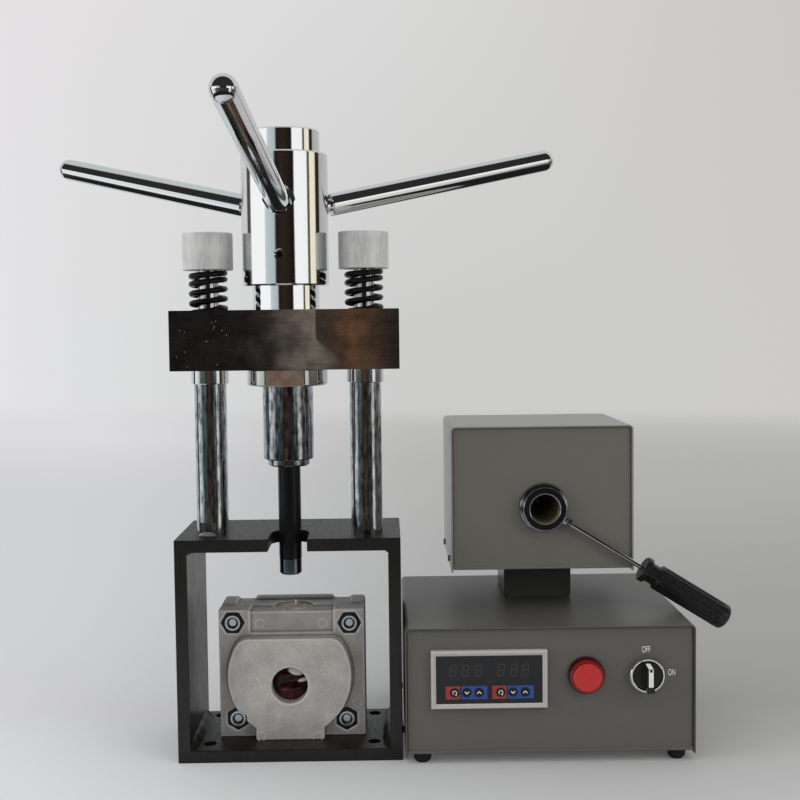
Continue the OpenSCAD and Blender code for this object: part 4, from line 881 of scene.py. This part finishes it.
# Coloured patches round the keys, cut clear of each key
keys = {"faceY": -0.0488, "frontY": -0.0494, "z": 60.9, "d": 7.2, "firstX": (137.0, 175.1), "pitch": 10.1,
        "gap": 0.25, "patchLow": 55.4, "patchHigh": 66.3, "patchThick": 0.08, "signThick": 0.05, "arcW": 1.65,
        "arcH": 1.55, "arcLine": 0.55, "chevronLine": 0.85}
patches = [("redKeyPatchLeft", redInk, 129.6, 141.3, (0,)), ("blueKeyPatchLeft", blueInk, 142.4, 164.0, (1, 2)),
           ("redKeyPatchRight", redInk, 168.1, 179.9, (3,)), ("blueKeyPatchRight", blueInk, 181.0, 202.3, (4, 5))]
keyX = [first + i*keys["pitch"] for first in keys["firstX"] for i in range(3)]
for name, material, x0, x1, around in patches:
    z0, z1 = keys["patchLow"], keys["patchHigh"]
    patch = printed(name, [[(x0, z0), (x1, z0), (x1, z1), (x0, z1)]], keys["faceY"] - 0.00002,
                    keys["patchThick"], "stand", material)
    for i in around:
        deselect()
        bpy.ops.mesh.primitive_cylinder_add(vertices=48, radius=(keys["d"]/2 + keys["gap"])*mm, depth=0.01,
                                            location=(keyX[i]*mm, keys["faceY"], keys["z"]*mm),
                                            rotation=(math.pi/2, 0, 0))
        cutAway(patch, bpy.context.active_object)


# Signs on the keys: a turning arrow, a chevron down and a chevron up
def strokeOutline(points, width):
    # One outline along a path of (x, z) points, mitred at the bends
    left, right = [], []
    for i, (x, z) in enumerate(points):
        ax, az = points[max(i - 1, 0)]
        bx, bz = points[min(i + 1, len(points) - 1)]
        length = math.hypot(bx - ax, bz - az)
        nx, nz = -(bz - az)/length*width/2, (bx - ax)/length*width/2
        left.append((x + nx, z + nz))
        right.append((x - nx, z - nz))
    return left + right[::-1]


for i, node in enumerate(keyNodes):
    x, z = keyX[i], keys["z"]
    if i % 3 == 0:
        turns = [math.radians(a) for a in range(-55, 236, 12)]
        arc = [(x + keys["arcW"]*math.cos(a), z + keys["arcH"]*math.sin(a)) for a in turns]
        shapes = [strokeOutline(arc, keys["arcLine"]), [(x + 0.1, z - 1.9), (x + 1.5, z - 1.0), (x + 1.7, z - 2.5)]]
    else:
        up = -1 if i % 3 == 1 else 1
        bend = [(x - 1.7, z - up*0.8), (x, z + up*0.9), (x + 1.7, z - up*0.8)]
        shapes = [strokeOutline(bend, keys["chevronLine"])]
    printed("keySign" + str(i + 1), shapes, keys["frontY"] - 0.00001, keys["signThick"], nodes[node]["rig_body"],
            whiteInk)
print("keys and patches printed")

# Unlit seven-segment digits behind the film: three for the temperature, three for the time
digits = {"z": 79.3, "h": 10.6, "w": 6.0, "bar": 1.15, "lean": 0.10, "thick": 0.02,
          "x": (135.9, 145.9, 156.9, 175.5, 186.1, 195.6)}


def segmentBar(ax, az, bx, bz, bar):
    length = math.hypot(bx - ax, bz - az)
    ux, uz = (bx - ax)/length, (bz - az)/length
    nx, nz = -uz*bar/2, ux*bar/2
    gap = bar*0.18
    return [(ax + ux*gap, az + uz*gap), (ax + ux*bar/2 + nx, az + uz*bar/2 + nz),
            (bx - ux*bar/2 + nx, bz - uz*bar/2 + nz), (bx - ux*gap, bz - uz*gap),
            (bx - ux*bar/2 - nx, bz - uz*bar/2 - nz), (ax + ux*bar/2 - nx, az + uz*bar/2 - nz)]


for side, places in (("temperature", digits["x"][:3]), ("time", digits["x"][3:])):
    shapes = []
    for cx in places:
        hw, hh = digits["w"]/2 - digits["bar"]/2, digits["h"]/2 - digits["bar"]/2
        bars = [(-hw, hh, hw, hh), (-hw, 0, hw, 0), (-hw, -hh, hw, -hh), (-hw, 0, -hw, hh), (hw, 0, hw, hh),
                (-hw, -hh, -hw, 0), (hw, -hh, hw, 0)]
        for ax, az, bx, bz in bars:
            outline = segmentBar(ax, az, bx, bz, digits["bar"])
            shapes.append([(cx + px + pz*digits["lean"], digits["z"] + pz) for px, pz in outline])
    printed(side + "Digits", shapes, keys["faceY"] - 0.00001, digits["thick"], "stand", segmentInk)
print("digits set")

# Words beside the switch: middle across and up, width and height in millimetres
words = {"OFF": (296.2, 93.8, 7.0, 5.2), "ON": (317.4, 74.2, 5.8, 5.2)}
wordPlane = {"y": -0.04404, "flatten": 0.002}
for word, (cx, cz, w, h) in words.items():
    deselect()
    bpy.ops.object.text_add(location=(0, 0, 0))
    text = bpy.context.active_object
    text.data.body = word
    text.data.extrude = 0.01
    bpy.ops.object.convert(target="MESH")
    text = bpy.context.active_object
    low = [min(v.co[i] for v in text.data.vertices) for i in range(2)]
    high = [max(v.co[i] for v in text.data.vertices) for i in range(2)]
    size = (w*mm/(high[0] - low[0]), h*mm/(high[1] - low[1]), wordPlane["flatten"])
    text.data.transform(Matrix.Translation((cx*mm, wordPlane["y"], cz*mm)) @ Matrix.Rotation(math.pi/2, 4, "X")
                        @ Matrix.Diagonal((*size, 1))
                        @ Matrix.Translation((-(low[0] + high[0])/2, -(low[1] + high[1])/2, 0)))
    finishPiece(text, "word" + word.title(), "stand", whiteInk)
print("switch words printed")

# White mark and dot on the knob, in millimetres
knob = {"x": 296.3, "z": 73.2, "front": -0.064, "markW": 3.8, "low": -5.9, "high": 8.7, "endZ": 9.0,
        "slope": 1.7/19, "depth": 13.0, "dotZ": 7.6, "dotD": 2.4, "markThick": 0.06, "dotThick": 0.05}
markEdges = [knob["x"] - knob["markW"]/2, knob["x"] + knob["markW"]/2]
printed("knobMark", [[(markEdges[0], knob["z"] + knob["low"]), (markEdges[1], knob["z"] + knob["low"]),
                      (markEdges[1], knob["z"] + knob["high"]), (markEdges[0], knob["z"] + knob["high"])]],
        knob["front"] - 0.00001, knob["markThick"], "selector", whiteInk)


def slopedMark(work):
    # The mark runs on over the sloping end of the bar
    corners = []
    for lift in (0.02, 0.10):
        for x in markEdges:
            for y in (0.3, knob["depth"]):
                corners.append(work.verts.new((x*mm, knob["front"] + y*mm,
                                               (knob["z"] + knob["endZ"] + lift + y*knob["slope"])*mm)))
    for quad in ((0, 1, 3, 2), (4, 6, 7, 5), (0, 2, 6, 4), (1, 5, 7, 3), (0, 4, 5, 1), (2, 3, 7, 6)):
        work.faces.new([corners[i] for i in quad])


finishPiece(meshFrom("knobMarkTop", slopedMark), "knobMarkTop", "selector", whiteInk)
printed("knobDot", [[(knob["x"] + knob["dotD"]/2*math.cos(a*math.pi/12),
                      knob["z"] + knob["dotZ"] + knob["dotD"]/2*math.sin(a*math.pi/12)) for a in range(24)]],
        knob["front"] - 0.00008, knob["dotThick"], "selector", knobPlastic)
print("knob marked")

# Ejector marks of the flask's casting: low rings with a sunk centre
marks = {"d": 8.5, "wire": 0.45, "flat": 0.7,
         "at": [(-27.8, 108.6, 0.003), (26.3, 108.5, 0.003), (55.5, 38.7, 0.001), (-26.8, 13.7, -0.010),
                (21.4, 12.3, -0.010)]}
deselect()
bpy.ops.mesh.primitive_torus_add(major_radius=(marks["d"]/2 - marks["wire"])*mm, minor_radius=marks["wire"]*mm,
                                 major_segments=40, minor_segments=8, rotation=(math.pi/2, 0, 0))
ring = bpy.context.active_object
bpy.ops.object.shade_smooth()
freeze()
for i, (x, z, y) in enumerate(marks["at"]):
    copy = newObject("ejectorMark" + str(i + 1), ring.data.copy())
    copy.data.transform(Matrix.Translation((x*mm, y, z*mm)) @ Matrix.Diagonal((1, marks["flat"], 1, 1)))
    finishPiece(copy, copy.name, "flask", castAluminium)
bpy.data.objects.remove(ring)
print("flask marks placed")

# Cross-head screws in the side walls of both covers
screws = {"d": 6.5, "head": 2.0, "ease": 0.9, "cross": 3.6, "slot": 0.75, "deep": 1.2, "turn": 0.5, "turnStep": 0.7,
          "at": [(138.9, 50.9, 155.0, -1), (138.9, 137.0, 155.0, -1), (298.2, 50.9, 155.0, 1),
                 (298.2, 137.0, 155.0, 1), (96.3, 4.2, 13.9, -1), (96.3, 138.3, 13.9, -1),
                 (337.1, 4.2, 13.9, 1), (337.1, 138.3, 13.9, 1)]}
deselect()
bpy.ops.mesh.primitive_cylinder_add(vertices=40, radius=screws["d"]/2*mm, depth=screws["head"]*mm,
                                    location=(0, 0, screws["head"]/2*mm))
head = bpy.context.active_object
freeze()
bpy.ops.object.mode_set(mode="EDIT")
bpy.ops.mesh.select_all(action="DESELECT")
edit = bmesh.from_edit_mesh(head.data)
for edge in edit.edges:
    edge.select = all(v.co.z > 1e-4 for v in edge.verts)
bmesh.update_edit_mesh(head.data)
bpy.ops.mesh.bevel(offset=screws["ease"]*mm, segments=4, affect="EDGES")
bpy.ops.object.mode_set(mode="OBJECT")
for turned in (0, math.pi/2):
    deselect()
    bpy.ops.mesh.primitive_cube_add(size=1, location=(0, 0, screws["head"]*mm), rotation=(0, 0, turned),
                                    scale=(screws["cross"]*mm, screws["slot"]*mm, 2*screws["deep"]*mm))
    cutAway(head, bpy.context.active_object)
smoothed(head, 40)
for i, (x, y, z, side) in enumerate(screws["at"]):
    copy = newObject("coverScrew" + str(i + 1), head.data.copy())
    copy.data.transform(Matrix.Translation((x*mm, y*mm, z*mm)) @ Matrix.Rotation(side*math.pi/2, 4, "Y")
                        @ Matrix.Rotation(screws["turn"] + i*screws["turnStep"], 4, "Z"))
    replaceNode(copy, copy.name, "cover_screws")
bpy.data.objects.remove(head)
print("cover screws turned")

# Blades in the mains inlet at the back, in millimetres
blades = {"at": [(127.3, 28.6), (134.3, 32.4), (141.3, 28.6)], "y": 160.5, "size": (2.0, 11.0, 4.0), "ease": 0.4}
for i, (x, z) in enumerate(blades["at"]):
    deselect()
    bpy.ops.mesh.primitive_cube_add(size=1, location=(x*mm, blades["y"]*mm, z*mm),
                                    scale=[s*mm for s in blades["size"]])
    blade = bpy.context.active_object
    freeze()
    easeEdges(blade, blades["ease"])
    finishPiece(blade, "inletBlade" + str(i + 1), "stand", zinc)
print("inlet blades set")

bpy.context.scene.view_settings.view_transform = "Standard"
